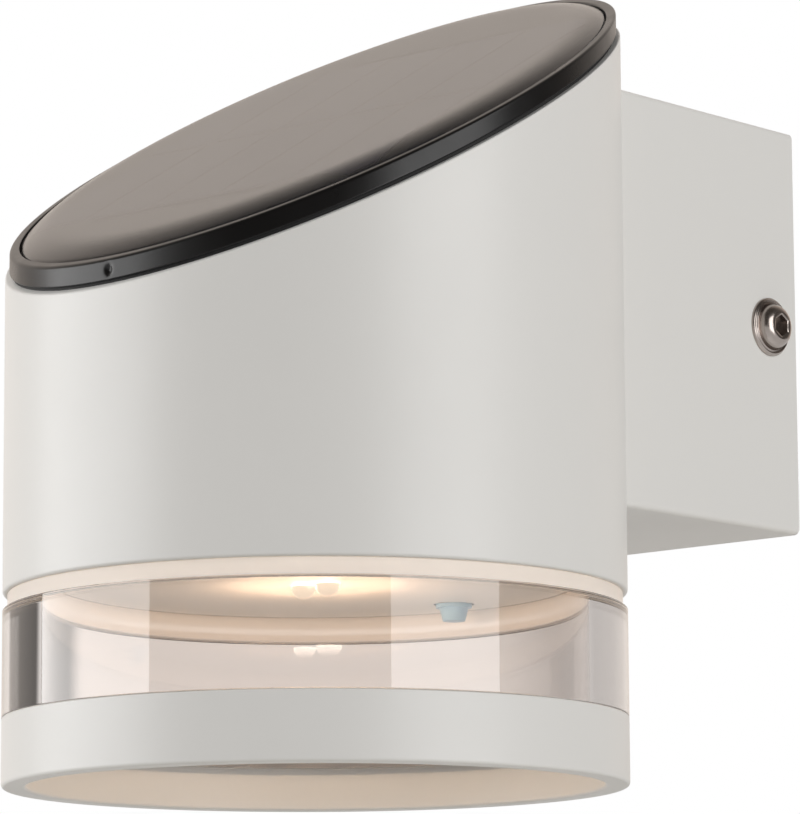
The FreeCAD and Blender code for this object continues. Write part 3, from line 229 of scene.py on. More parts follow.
# ---- surfaces as whole arrays ----
def softened(corners, radii, steps=6, hold=0.1 * MM):
    """A closed outline with its corners rounded.

    At a corner that turns by a, an arc of radius r touches both sides r tan(a / 2) from the corner;
    its points are the centre plus the first spoke turned by even shares of a. A point on each side,
    hold away from the arc, keeps the flats flat.
    """
    corner = np.array(corners, float)
    radius = np.broadcast_to(np.asarray(radii, float), len(corner))[:, None]
    into = corner - np.roll(corner, 1, axis=0)
    into /= np.linalg.norm(into, axis=1, keepdims=True)
    out = np.roll(into, -1, axis=0)
    turn = np.arctan2(into[:, 0] * out[:, 1] - into[:, 1] * out[:, 0], (into * out).sum(1))[:, None]
    leg = radius * np.tan(np.abs(turn) / 2)
    spoke = -np.sign(turn) * np.stack([-into[:, 1], into[:, 0]], 1)
    centre = corner - into * leg - spoke * radius
    share = turn * np.linspace(0, 1, steps)
    x = centre[:, :1] + radius * (np.cos(share) * spoke[:, :1] - np.sin(share) * spoke[:, 1:])
    y = centre[:, 1:] + radius * (np.sin(share) * spoke[:, :1] + np.cos(share) * spoke[:, 1:])
    before, after = corner - into * (leg + hold), corner + out * (leg + hold)
    x = np.hstack([before[:, :1], x, after[:, :1]])
    y = np.hstack([before[:, 1:], y, after[:, 1:]])
    line = np.stack([x, y], -1).reshape(-1, 2)
    apart = np.linalg.norm(line - np.roll(line, 1, axis=0), axis=1) > 1e-8
    return line[apart]


def all_round(count):
    """Even turns round an axis, without the closing one."""
    return np.linspace(0, 2 * math.pi, count, endpoint=False)


def level_shell(profile, turns):
    """A (radius, height) profile turned round the tube's axis: x = r cos t, y = axis + r sin t."""
    r, h = profile.T
    c, s = np.cos(turns)[:, None], np.sin(turns)[:, None]
    return np.stack([r * c, AXIS_Y + r * s, h + 0 * c], -1)


def slanted_shell(profile, turns, share=1.0):
    """A profile turned round the tube's axis whose heights ride on the slanted cut.

    x = r cos t, y = axis + r sin t, z = h + share (cut + slope r sin t).
    """
    r, h = profile.T
    c, s = np.cos(turns)[:, None], np.sin(turns)[:, None]
    return np.stack([r * c, AXIS_Y + r * s, h + share * (CUT_Z + SLOPE * r * s)], -1)


def side_shell(radius, height, turns, side):
    """Radii and heights turned round the side screws' axis, heights out of the arm's side.

    x = side (seat + h), y = middle + r cos t, z = middle + r sin t.
    """
    c, s = np.cos(turns)[:, None], np.sin(turns)[:, None]
    middle = (SCREW_LOW + SCREW_HIGH) / 2
    out = side * (ARM_HIGH.x + height)
    return np.stack([out, middle.y + radius * c, middle.z + radius * s], -1)


def patches(rows, columns, wrap_rows, wrap_columns):
    """Corner numbers of each patch of a grid, row by row, closed round where asked."""
    number = np.arange(rows * columns).reshape(rows, columns)
    if wrap_rows:
        number = np.vstack([number, number[:1]])
    if wrap_columns:
        number = np.hstack([number, number[:, :1]])
    corners = [number[:-1, :-1], number[1:, :-1], number[1:, 1:], number[:-1, 1:]]
    return np.stack(corners, -1).reshape(-1, 4)


def piece_from(name, grids, sharp=35.0):
    """A mesh piece from grids of points: poles and seams are merged, faces turned outwards."""
    points, faces, start = [], [], 0
    for grid, wrap_rows, wrap_columns in grids:
        rows, columns = grid.shape[:2]
        points.append(grid.reshape(-1, 3))
        faces.append(patches(rows, columns, wrap_rows, wrap_columns) + start)
        start += rows * columns
    mesh = bpy.data.meshes.new(name)
    mesh.from_pydata(np.concatenate(points).tolist(), [], np.concatenate(faces).tolist())
    shape = bmesh.new()
    shape.from_mesh(mesh)
    bmesh.ops.remove_doubles(shape, verts=shape.verts, dist=MERGE)
    bmesh.ops.recalc_face_normals(shape, faces=shape.faces)
    shape.to_mesh(mesh)
    shape.free()
    mesh.shade_smooth()
    mesh.set_sharp_from_angle(angle=math.radians(sharp))
    piece = bpy.data.objects.new(name, mesh)
    bpy.context.scene.collection.objects.link(piece)
    return piece


def fit_out(piece, finish, body, slot, *nodes):
    """Gives a piece its finish, its body and the nodes that it stands for."""
    piece.data.materials.clear()
    piece.data.materials.append(finish)
    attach(piece, body)
    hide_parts(*nodes)


# ---- node helpers ----
def add(tree, kind, **settings):
    """A node of a kind with its plain settings."""
    node = tree.nodes.new(kind)
    for key, value in settings.items():
        setattr(node, key, value)
    return node


def set_inputs(node, values):
    """Sets sockets by name."""
    for key, value in values.items():
        node.inputs[key].default_value = value


def wire(tree, *pairs):
    """Joins sockets, each pair from an output to an input."""
    for start, end in pairs:
        tree.links.new(start, end)


def new_group(name, inputs, outputs):
    """A shader node group with named number or colour sockets and its two end nodes."""
    group = bpy.data.node_groups.new(name, "ShaderNodeTree")
    for label, kind, default in inputs:
        socket = group.interface.new_socket(name=label, in_out="INPUT", socket_type=kind)
        socket.default_value = default
    for label, kind in outputs:
        group.interface.new_socket(name=label, in_out="OUTPUT", socket_type=kind)
    return group, add(group, "NodeGroupInput"), add(group, "NodeGroupOutput")


def grain_group():
    """Fine surface grain: two scales of noise, added and put out as a height."""
    group, enter, leave = new_group(
        "surface_grain",
        [("Scale", "NodeSocketFloat", 1500.0), ("Coarse share", "NodeSocketFloat", 0.4)],
        [("Height", "NodeSocketFloat")])
    place = add(group, "ShaderNodeTexCoord")
    fine = add(group, "ShaderNodeTexNoise", noise_dimensions="3D")
    coarse = add(group, "ShaderNodeTexNoise", noise_dimensions="3D")
    set_inputs(fine, {"Detail": 3.0, "Roughness": 0.55})
    set_inputs(coarse, {"Detail": 1.0})
    quarter = add(group, "ShaderNodeMath", operation="MULTIPLY")
    quarter.inputs[1].default_value = 0.25
    mix = add(group, "ShaderNodeMix", data_type="FLOAT")
    wire(group, (place.outputs["Object"], fine.inputs["Vector"]),
         (place.outputs["Object"], coarse.inputs["Vector"]),
         (enter.outputs["Scale"], fine.inputs["Scale"]),
         (enter.outputs["Scale"], quarter.inputs[0]),
         (quarter.outputs[0], coarse.inputs["Scale"]),
         (enter.outputs["Coarse share"], mix.inputs["Factor"]),
         (fine.outputs["Fac"], mix.inputs[2]),
         (coarse.outputs["Fac"], mix.inputs[3]),
         (mix.outputs[0], leave.inputs["Height"]))
    return group


def tone_group():
    """Slow change of tone and gloss: noise mixes two colours and two roughnesses."""
    group, enter, leave = new_group(
        "tone_drift",
        [("Color", "NodeSocketColor", (0.8, 0.8, 0.8, 1)),
         ("Other", "NodeSocketColor", (0.7, 0.7, 0.7, 1)),
         ("Scale", "NodeSocketFloat", 60.0), ("Roughness", "NodeSocketFloat", 0.4),
         ("Spread", "NodeSocketFloat", 0.05)],
        [("Color", "NodeSocketColor"), ("Roughness", "NodeSocketFloat")])
    place = add(group, "ShaderNodeTexCoord")
    noise = add(group, "ShaderNodeTexNoise", noise_dimensions="3D")
    set_inputs(noise, {"Detail": 4.0, "Roughness": 0.6})
    stretch = add(group, "ShaderNodeMapRange", clamp=True)
    set_inputs(stretch, {"From Min": 0.35, "From Max": 0.65})
    mix = add(group, "ShaderNodeMix", data_type="RGBA")
    gloss = add(group, "ShaderNodeMath", operation="MULTIPLY_ADD")
    wire(group, (place.outputs["Object"], noise.inputs["Vector"]),
         (enter.outputs["Scale"], noise.inputs["Scale"]),
         (noise.outputs["Fac"], stretch.inputs["Value"]),
         (stretch.outputs["Result"], mix.inputs[0]),
         (enter.outputs["Color"], mix.inputs[6]),
         (enter.outputs["Other"], mix.inputs[7]),
         (stretch.outputs["Result"], gloss.inputs[0]),
         (enter.outputs["Spread"], gloss.inputs[1]),
         (enter.outputs["Roughness"], gloss.inputs[2]),
         (mix.outputs[2], leave.inputs["Color"]),
         (gloss.outputs[0], leave.inputs["Roughness"]))
    return group


def scratch_group():
    """Fine lines drawn one way: noise squeezed across them, put out as a height."""
    group, enter, leave = new_group(
        "drawn_lines",
        [("Along", "NodeSocketVector", (40.0, 2500.0, 2500.0))],
        [("Height", "NodeSocketFloat")])
    place = add(group, "ShaderNodeTexCoord")
    squeeze = add(group, "ShaderNodeVectorMath", operation="MULTIPLY")
    noise = add(group, "ShaderNodeTexNoise", noise_dimensions="3D")
    set_inputs(noise, {"Scale": 1.0, "Detail": 2.0})
    wire(group, (place.outputs["Object"], squeeze.inputs[0]),
         (enter.outputs["Along"], squeeze.inputs[1]),
         (squeeze.outputs[0], noise.inputs["Vector"]),
         (noise.outputs["Fac"], leave.inputs["Height"]))
    return group


GROUP_MAKERS = {"surface_grain": grain_group, "tone_drift": tone_group,
                "drawn_lines": scratch_group}


def effect(tree, name, values):
    """Places one of the shared groups in a material, with its own values."""
    group = bpy.data.node_groups.get(name) or GROUP_MAKERS[name]()
    node = add(tree, "ShaderNodeGroup", node_tree=group)
    set_inputs(node, values)
    return node


def dim(colour, share):
    """A colour scaled down, with alpha."""
    return tuple(c * share for c in colour[:3]) + (1.0,)


def finish_base(name, constants):
    """A new material with its shader's own constants set."""
    old = bpy.data.materials.get(name)
    if old:
        bpy.data.materials.remove(old)
    material = bpy.data.materials.new(name)
    material.use_nodes = True
    shader = material.node_tree.nodes["Principled BSDF"]
    set_inputs(shader, constants)
    return material, material.node_tree, shader


def lay_on(tree, shader, tone, height, depth):
    """Puts a tone's gloss and a height of a given depth on a shader."""
    bump = add(tree, "ShaderNodeBump")
    set_inputs(bump, {"Strength": 1.0, "Distance": depth})
    wire(tree, (tone.outputs["Roughness"], shader.inputs["Roughness"]),
         (height.outputs["Height"], bump.inputs["Height"]),
         (bump.outputs["Normal"], shader.inputs["Normal"]))


def solid_finish(name, colour, roughness, grain, grain_depth, drift=0.96, drift_scale=60.0,
                 spread=0.05, **constants):
    """An opaque finish: tone drift on colour and roughness, grain as bump."""
    material, tree, shader = finish_base(name, constants)
    tone = effect(tree, "tone_drift", {
        "Color": dim(colour, 1.0), "Other": dim(colour, drift), "Scale": drift_scale,
        "Roughness": roughness, "Spread": spread})
    tree.links.new(tone.outputs["Color"], shader.inputs["Base Color"])
    lay_on(tree, shader, tone, effect(tree, "surface_grain", {"Scale": grain}), grain_depth)
    return material


def metal_finish(name, colour, roughness, along, depth):
    """A metal finish: tone drift and lines drawn one way."""
    material, tree, shader = finish_base(name, {"Metallic": 1.0})
    tone = effect(tree, "tone_drift", {"Color": dim(colour, 1.0), "Other": dim(colour, 0.88),
                                       "Scale": 350.0, "Roughness": roughness, "Spread": 0.1})
    tree.links.new(tone.outputs["Color"], shader.inputs["Base Color"])
    lay_on(tree, shader, tone, effect(tree, "drawn_lines", {"Along": along}), depth)
    return material


def clear_finish(name, tint, wave, wave_depth, roughness, **constants):
    """A clear moulded finish: a faint slow waviness as bump and a faint change of gloss."""
    constants = {"Transmission Weight": 1.0, "Base Color": dim(tint, 1.0), **constants}
    material, tree, shader = finish_base(name, constants)
    tone = effect(tree, "tone_drift", {"Scale": 90.0, "Roughness": roughness, "Spread": 0.01})
    slow = effect(tree, "surface_grain", {"Scale": wave, "Coarse share": 0.9})
    lay_on(tree, shader, tone, slow, wave_depth)
    return material


def lamp_finish(warmth, glow):
    """Clear lamp epoxy lit from within: seen straight it glows softly, brightest at its foot, and
    what its foot throws into polished surfaces is at full strength."""
    material, tree, shader = finish_base("lit_lamp", {
        "Emission Strength": glow, "Roughness": 0.3, "Base Color": (0, 0, 0, 1)})
    place = add(tree, "ShaderNodeTexCoord")
    split = add(tree, "ShaderNodeSeparateXYZ")
    fade = add(tree, "ShaderNodeMapRange", clamp=True)
    set_inputs(fade, {"From Min": LAMP_LOW.z, "From Max": DECK_LOW.z})
    tip, foot = (1.0, 0.82, 0.64), (1.3, 1.1, 0.85)
    soft = add(tree, "ShaderNodeMix", data_type="RGBA")
    soft.inputs[6].default_value = dim(tip, 1 / glow)
    soft.inputs[7].default_value = dim(foot, 1 / glow)
    path = add(tree, "ShaderNodeLightPath")
    thrown = add(tree, "ShaderNodeMath", operation="SUBTRACT", use_clamp=True)
    full = add(tree, "ShaderNodeMix", data_type="RGBA")
    full.inputs[6].default_value = dim(warmth, 0.05)
    full.inputs[7].default_value = dim([0.4 + 0.6 * c for c in warmth], 1.0)
    mix = add(tree, "ShaderNodeMix", data_type="RGBA")
    wire(tree, (place.outputs["Object"], split.inputs[0]),
         (split.outputs["Z"], fade.inputs["Value"]),
         (fade.outputs["Result"], soft.inputs[0]),
         (path.outputs["Is Glossy Ray"], thrown.inputs[0]),
         (path.outputs["Is Transmission Ray"], thrown.inputs[1]),
         (thrown.outputs[0], mix.inputs[0]),
         (fade.outputs["Result"], full.inputs[0]),
         (soft.outputs[2], mix.inputs[6]),
         (full.outputs[2], mix.inputs[7]),
         (mix.outputs[2], shader.inputs["Emission Color"]))
    return material


def deck_finish_with_painted_shade(name, colour, rim, width):
    """White moulding with a painted shade line where it meets the neck, standing in for the shadow
    in the gap there: the distance from the tube's axis, from rim less width to rim, mixes the
    colour into a brown one."""
    material = solid_finish(name, colour, 0.42, 1800.0, 0.01 * MM)
    tree = material.node_tree
    shader = tree.nodes["Principled BSDF"]
    white = shader.inputs["Base Color"].links[0].from_socket
    place = add(tree, "ShaderNodeTexCoord")
    spoke = add(tree, "ShaderNodeVectorMath", operation="SUBTRACT")
    spoke.inputs[1].default_value = (0, AXIS_Y, 0)
    flat = add(tree, "ShaderNodeVectorMath", operation="MULTIPLY")
    flat.inputs[1].default_value = (1, 1, 0)
    away = add(tree, "ShaderNodeVectorMath", operation="LENGTH")
    ramp = add(tree, "ShaderNodeMapRange", interpolation_type="SMOOTHSTEP")
    set_inputs(ramp, {"From Min": rim - width, "From Max": rim, "To Max": 0.75})
    mix = add(tree, "ShaderNodeMix", data_type="RGBA")
    # Painted shade: the dark brown of the shadow in the gap between deck and neck.
    mix.inputs[7].default_value = (0.16, 0.11, 0.08, 1)
    wire(tree, (place.outputs["Object"], spoke.inputs[0]),
         (spoke.outputs["Vector"], flat.inputs[0]),
         (flat.outputs["Vector"], away.inputs[0]),
         (away.outputs["Value"], ramp.inputs["Value"]),
         (ramp.outputs["Result"], mix.inputs[0]),
         (white, mix.inputs[6]),
         (mix.outputs[2], shader.inputs["Base Color"]))
    return material


def cell_finish():
    """Dark solar cell: near black blue with thin bright fingers across it."""
    material, tree, shader = finish_base("solar_cell", {"Specular IOR Level": 0.6})
    tone = effect(tree, "tone_drift", {
        "Color": (0.012, 0.014, 0.026, 1), "Other": (0.02, 0.02, 0.03, 1), "Scale": 160.0,
        "Roughness": 0.28, "Spread": 0.08})
    place = add(tree, "ShaderNodeTexCoord")
    wave = add(tree, "ShaderNodeTexWave", wave_type="BANDS", bands_direction="Y",
               wave_profile="SIN")
    set_inputs(wave, {"Scale": 150.0})
    thin = add(tree, "ShaderNodeMapRange", clamp=True)
    set_inputs(thin, {"From Min": 0.97, "From Max": 0.995, "To Max": 0.55})
    mix = add(tree, "ShaderNodeMix", data_type="RGBA")
    mix.inputs[7].default_value = (0.04, 0.04, 0.045, 1)
    wire(tree, (place.outputs["Object"], wave.inputs["Vector"]),
         (wave.outputs["Fac"], thin.inputs["Value"]),
         (thin.outputs["Result"], mix.inputs[0]),
         (tone.outputs["Color"], mix.inputs[6]),
         (mix.outputs[2], shader.inputs["Base Color"]),
         (tone.outputs["Roughness"], shader.inputs["Roughness"]))
    return material


# ---- pieces ----
def wall_profile(inner, low, high, edge):
    """Outline of a round wall; its upper edges are rounded half as much as its lower ones."""
    return softened([(TUBE_RADIUS, low), (TUBE_RADIUS, high), (inner, high), (inner, low)],
                    [edge, edge / 2, edge / 2, edge])


class FENCE_OT_painted_shells(bpy.types.Operator):
    """Tube with its slanted rim and inner tabs, and the foot ring, in powder coat"""
    bl_idname = "fence_light.painted_shells"
    bl_label = "Painted shells"

    def execute(self, context):
        own = context.scene.fence_shells
        paint = solid_finish("powder_coat", own.paint, 0.36, 1400.0, 0.012 * MM, drift=0.985,
                             drift_scale=45.0)
        turns = all_round(own.turns)
        inner = TUBE_RADIUS - own.tube_wall
        top = TUBE_LOW.z + TUBE_RADIUS
        profile = wall_profile(inner, TUBE_LOW.z, top, own.edge_round)
        upper = profile[:, 1] > (TUBE_LOW.z + top) / 2
        heights = profile[:, 1] - upper * top
        shell = slanted_shell(np.stack([profile[:, 0], heights], 1), turns, share=upper * 1.0)
        tabs = [(tab_grid(angle, inner + own.tube_wall / 2), True, True) for angle in TAB_ANGLES]
        tube = piece_from("tube_shell", [(shell, True, True)] + tabs)
        fit_out(tube, paint, "housing", "white_paint", "body_tube")

        profile = wall_profile(TUBE_RADIUS - own.foot_wall, FOOT_LOW.z, FOOT_HIGH.z,
                               own.edge_round)
        foot = piece_from("foot_ring", [(level_shell(profile, turns), True, True)])
        fit_out(foot, paint, "housing", "white_paint", "lower_ring")
        return {"FINISHED"}


def tab_grid(degrees, reach):
    """A tab round its screw hole: a washer whose outline grows straight out to the tube's wall.

    The outline's distance from the hole is the tab's radius inwards, and outwards the lesser of
    radius / |sin t| (its straight sides) and (reach - circle) / cos t (its end in the wall).
    """
    t = all_round(72)
    side = TAB_RADIUS / np.maximum(np.abs(np.sin(t)), TINY)
    end = (reach - TAB_CIRCLE) / np.maximum(np.cos(t), TINY)
    edge = np.where(np.cos(t) > 0, np.minimum(side, end), TAB_RADIUS)
    radius = np.stack([TAB_HOLE + 0 * t, TAB_HOLE + 0 * t, edge, edge], 1)
    height = np.array([0, TAB_THICK, TAB_THICK, 0]) + TAB_LOW
    x = TAB_CIRCLE + radius * np.cos(t)[:, None]
    y = radius * np.sin(t)[:, None]
    turn = math.radians(degrees)
    return np.stack([x * math.cos(turn) - y * math.sin(turn),
                     AXIS_Y + x * math.sin(turn) + y * math.cos(turn), height + 0 * x], -1)


class FENCE_OT_clear_ring(bpy.types.Operator):
    """Thick clear ring: bevelled top, tongue into the neck, spigot into the foot ring"""
    bl_idname = "fence_light.clear_ring"
    bl_label = "Clear ring"

    def execute(self, context):
        own = context.scene.fence_glow
        turns = all_round(context.scene.fence_shells.turns)
        bore = TUBE_RADIUS - own.clear_wall
        top = CLEAR_HIGH.z - own.tongue
        shelf = CLEAR_LOW.z + own.spigot
        spigot = TUBE_RADIUS - context.scene.fence_shells.foot_wall - GLUE_GAP
        middle = (NECK_RADIUS + bore) / 2
        half = own.tongue_width / 2
        small, fine = 0.12 * MM, 0.05 * MM
        profile = softened(
            [(bore, CLEAR_LOW.z), (spigot, CLEAR_LOW.z), (spigot, shelf), (TUBE_RADIUS, shelf),
             (TUBE_RADIUS, top - own.bevel), (TUBE_RADIUS - own.bevel, top), (middle + half, top),
             (middle + half, top + own.tongue), (middle - half, top + own.tongue),
             (middle - half, top), (bore, top)],
            [small, small, small, 0.1 * MM, fine, fine, small, small, small, small, fine],
            steps=5, hold=0.05 * MM)
        ring = piece_from("clear_wall", [(level_shell(profile, turns), True, True)])
        glass = clear_finish("clear_acrylic", own.tint, 45.0, 0.006 * MM, 0.0, IOR=1.58)
        fit_out(ring, glass, "housing", "clear_plastic", "clear_ring")
        return {"FINISHED"}


class FENCE_OT_neck(bpy.types.Operator):
    """Frosted neck between the tube and the clear ring, with a painted glow of the lamps' light"""
    bl_idname = "fence_light.neck"
    bl_label = "Frosted neck"

    def execute(self, context):
        own = context.scene.fence_glow
        turns = all_round(context.scene.fence_shells.turns)
        bore = TUBE_RADIUS - own.clear_wall
        step = NECK_HIGH.z - own.collar
        inside = TUBE_RADIUS - context.scene.fence_shells.tube_wall - GLUE_GAP
        middle = (NECK_RADIUS + bore) / 2
        half = own.tongue_width / 2 + GLUE_GAP
        roof = NECK_LOW.z + own.tongue + GLUE_GAP
        small = 0.1 * MM
        profile = softened(
            [(bore, NECK_LOW.z), (middle - half, NECK_LOW.z), (middle - half, roof),
             (middle + half, roof), (middle + half, NECK_LOW.z), (NECK_RADIUS, NECK_LOW.z),
             (NECK_RADIUS, step), (inside, step), (inside, NECK_HIGH.z), (bore, NECK_HIGH.z)],
            small, steps=4, hold=0.05 * MM)
        ring = piece_from("neck_band", [(level_shell(profile, turns), True, True)])
        # Painted light: a plain warm emission on the frosted neck stands in for the lamps' light
        # passing through it.
        milk_with_painted_glow = solid_finish("frosted_neck", (0.97, 0.935, 0.905), 0.45, 3000.0, 0.01 * MM,
                            drift=0.97, **{"Transmission Weight": 0.55, "IOR": 1.3,
                                           "Emission Strength": own.painted_neck_glow,
                                           "Emission Color": (1.0, 0.84, 0.68, 1)})
        fit_out(ring, milk_with_painted_glow, "housing", "frosted_plastic", "neck_ring")
        return {"FINISHED"}


class FENCE_OT_bezel(bpy.types.Operator):
    """Black bezel: thin rim on the slant, skirt in the tube, small mark at the front"""
    bl_idname = "fence_light.bezel"
    bl_label = "Bezel"

    def execute(self, context):
        own = context.scene.fence_head
        bore = BEZEL_RADIUS - own.land
        skirt = HEAD_RADIUS - own.skirt_wall
        small = 0.15 * MM
        profile = softened(
            [(bore, BEZEL_TOP), (bore, BOARD_FOOT), (skirt, BOARD_FOOT), (skirt, SKIRT_LOW),
             (HEAD_RADIUS, SKIRT_LOW), (HEAD_RADIUS, GASKET_TOP), (BEZEL_RADIUS, GASKET_TOP),
             (BEZEL_RADIUS, BEZEL_TOP)],
            [small, 0, small, small, small, 0, own.bezel_round * 0.6, own.bezel_round])
        middle = (GASKET_TOP + BEZEL_TOP) / 2
        mark = middle + own.notch_height * np.linspace(-1, 1, 15)
        outer = np.where(profile[:, 0] > BEZEL_RADIUS - TINY)[0]
        cut = outer[np.argmax(np.diff(profile[outer, 1]))] + 1
        mark = mark[(mark > profile[cut - 1, 1]) & (mark < profile[cut, 1])]
        rows = np.stack([BEZEL_RADIUS + 0 * mark, mark], 1)
        profile = np.vstack([profile[:cut], rows, profile[cut:]])
        centre = FRONT_TURN + own.notch_place / BEZEL_RADIUS
        fine = centre + own.notch_width / BEZEL_RADIUS * np.linspace(-2, 2, 33)
        turns = np.unique(np.concatenate([all_round(context.scene.fence_shells.turns), fine]))
        shell = sunk(slanted_shell(profile, turns), profile, turns, own, centre, middle)
        rim = piece_from("bezel_ring", [(shell, True, True)])
        satin = solid_finish("satin_black", (0.005, 0.0045, 0.0045), 0.27, 2600.0, 0.01 * MM,
                             drift=0.8, drift_scale=120.0, spread=0.08,
                             **{"Specular IOR Level": 0.36})
        fit_out(rim, satin, "solar_head", "black_plastic", "top_bezel")
        return {"FINISHED"}


def sunk(shell, profile, turns, own, centre, middle):
    """Presses the front mark in as a soft dent.

    Each point of the outer side loses depth exp(-(2 a / width)^2 - (2 b / height)^2) along its
    spoke, a and b being its distances from the mark's middle round the rim and up it.
    """
    across = (turns - centre) * BEZEL_RADIUS / (own.notch_width / 2)
    up = (profile[:, 1] - middle) / (own.notch_height / 2)
    outer = profile[:, 0] > BEZEL_RADIUS - TINY
    depth = own.notch_depth * np.exp(-across[:, None] ** 2 - up[None, :] ** 2) * outer
    spoke = np.stack([np.cos(turns), np.sin(turns), 0 * turns], 1)[:, None, :]
    return shell - depth[..., None] * spoke


class FENCE_OT_panel(bpy.types.Operator):
    """Crowned clear resin over the solar cells"""
    bl_idname = "fence_light.panel"
    bl_label = "Panel resin"

    def execute(self, context):
        own = context.scene.fence_head
        turns = all_round(context.scene.fence_shells.turns)
        flat = DOME_RADIUS - own.roll
        top = BOARD_TOP + own.rim + own.rise
        inner = np.linspace(0, flat, 12)
        share = np.linspace(0, 1, 16)[1:]
        radius = np.concatenate([inner, flat + own.roll * share, [DOME_RADIUS] * 2, inner[::-1]])
        height = np.concatenate([top + 0 * inner, top - own.rise * share ** 3,
                                 [BOARD_TOP + own.rim / 2, BOARD_TOP], BOARD_TOP + 0 * inner])
        shell = slanted_shell(np.stack([radius, height], 1), turns)
        dome = piece_from("panel_resin", [(shell, True, False)], sharp=50.0)
        resin = clear_finish("clear_resin", (0.92, 0.90, 0.88), 120.0, 0.01 * MM, 0.2, IOR=1.5,
                             **{"Specular Tint": (1.0, 0.93, 0.87, 1)})
        fit_out(dome, resin, "solar_head", "clear_resin", "panel_dome")
        return {"FINISHED"}


class FENCE_OT_lamps(bpy.types.Operator):
    """Finish and light of the two lamps"""
    bl_idname = "fence_light.lamps"
    bl_label = "Lamps"

    def execute(self, context):
        own = context.scene.fence_glow
        lit = lamp_finish(own.warmth, own.lamp_glow)
        for name in ("lamp_right", "lamp_left"):
            dress(name, lit)
            low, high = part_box(name)
            data = bpy.data.lights.new(name + "_light", "POINT")
            data.energy = own.lamp_power
            data.color = own.thrown
            data.shadow_soft_size = half_width(low, high) / 2
            light = bpy.data.objects.new(name + "_light", data)
            light.location = ((low.x + high.x) / 2, (low.y + high.y) / 2, low.z - LIGHT_DROP)
            light.visible_glossy = light.visible_camera = light.visible_transmission = False
            context.scene.collection.objects.link(light)
        return {"FINISHED"}


class FENCE_OT_side_screws(bpy.types.Operator):
    """Two button head screws: ridged flange, dome and hexagon socket, with their shanks"""
    bl_idname = "fence_light.side_screws"
    bl_label = "Side screws"

    def execute(self, context):
        own = context.scene.fence_shells
        steel = metal_finish("screw_steel", (0.44, 0.39, 0.36), 0.16, (400.0, 2500.0, 2500.0),
                             0.003 * MM)
        reach = (SCREW_HIGH.y - SCREW_LOW.y) / 2
        rise = SCREW_HIGH.x - ARM_HIGH.x
        turns = all_round(96)
        dome = np.linspace(0, math.pi / 2, 12)[::-1]
        brow = own.socket_flats / 2 / math.cos(math.pi / 6) + SOCKET_LIP
        foot = DOME_FOOT * rise
        cap_radius = brow + (own.flange_share * reach - brow) * np.cos(dome)
        cap_height = foot + (rise - foot) * np.sin(dome)
        share = np.linspace(0, 1, 25)[1:]
        wave = 0.5 - 0.5 * np.cos(2 * math.pi * own.ridges * share)
        flange_radius = reach * (own.flange_share + (FLANGE_END - own.flange_share) * share)
        flange_height = FLANGE_FOOT * rise + RIDGE_RISE * rise * wave
        shank, end = SHANK_RADIUS, SCREW_LOW.x - ARM_HIGH.x
        radius = np.concatenate([[0, 0, 0], cap_radius, flange_radius,
                                 [reach, reach, shank, shank, shank - SHANK_TIP, 0]])
        height = np.concatenate([[rise - own.socket_depth] * 2, [rise - SOCKET_BREAK], cap_height,
                                 flange_height,
                                 [RIM_HEIGHT * rise, 0, 0, end + SHANK_TIP, end, end]])
        sector = (turns + math.pi / 6) % (math.pi / 3) - math.pi / 6
        hexagon = own.socket_flats / 2 / np.cos(sector)
        grid = np.tile(radius, (len(turns), 1))
        grid[:, 1:3] = hexagon[:, None]
        for side, name, body in ((1, "side_screw_right", "right_screw"),
                                 (-1, "side_screw_left", "left_screw")):
            shell = side_shell(grid, height + 0 * grid, turns, side)
            screw = piece_from(name + "_button", [(shell, True, False)], sharp=40.0)
            fit_out(screw, steel, body, "stainless", name)
        return {"FINISHED"}


def dress(node, finish):
    """Puts a finish on a packed part that keeps its own shape."""
    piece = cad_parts[node]
    piece.data.materials.clear()
    piece.data.materials.append(finish)


class FENCE_OT_inner_parts(bpy.types.Operator):
    """Finishes of the packed parts that keep their own shape"""
    bl_idname = "fence_light.inner_parts"
    bl_label = "Arm, plate, screws and inner parts"

    def execute(self, context):
        for nodes, finish in inner_finishes(context.scene.fence_glow.clear_wall):
            for node in nodes:
                dress(node, finish)
        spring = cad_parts["switch_spring"]
        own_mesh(spring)
        return {"FINISHED"}


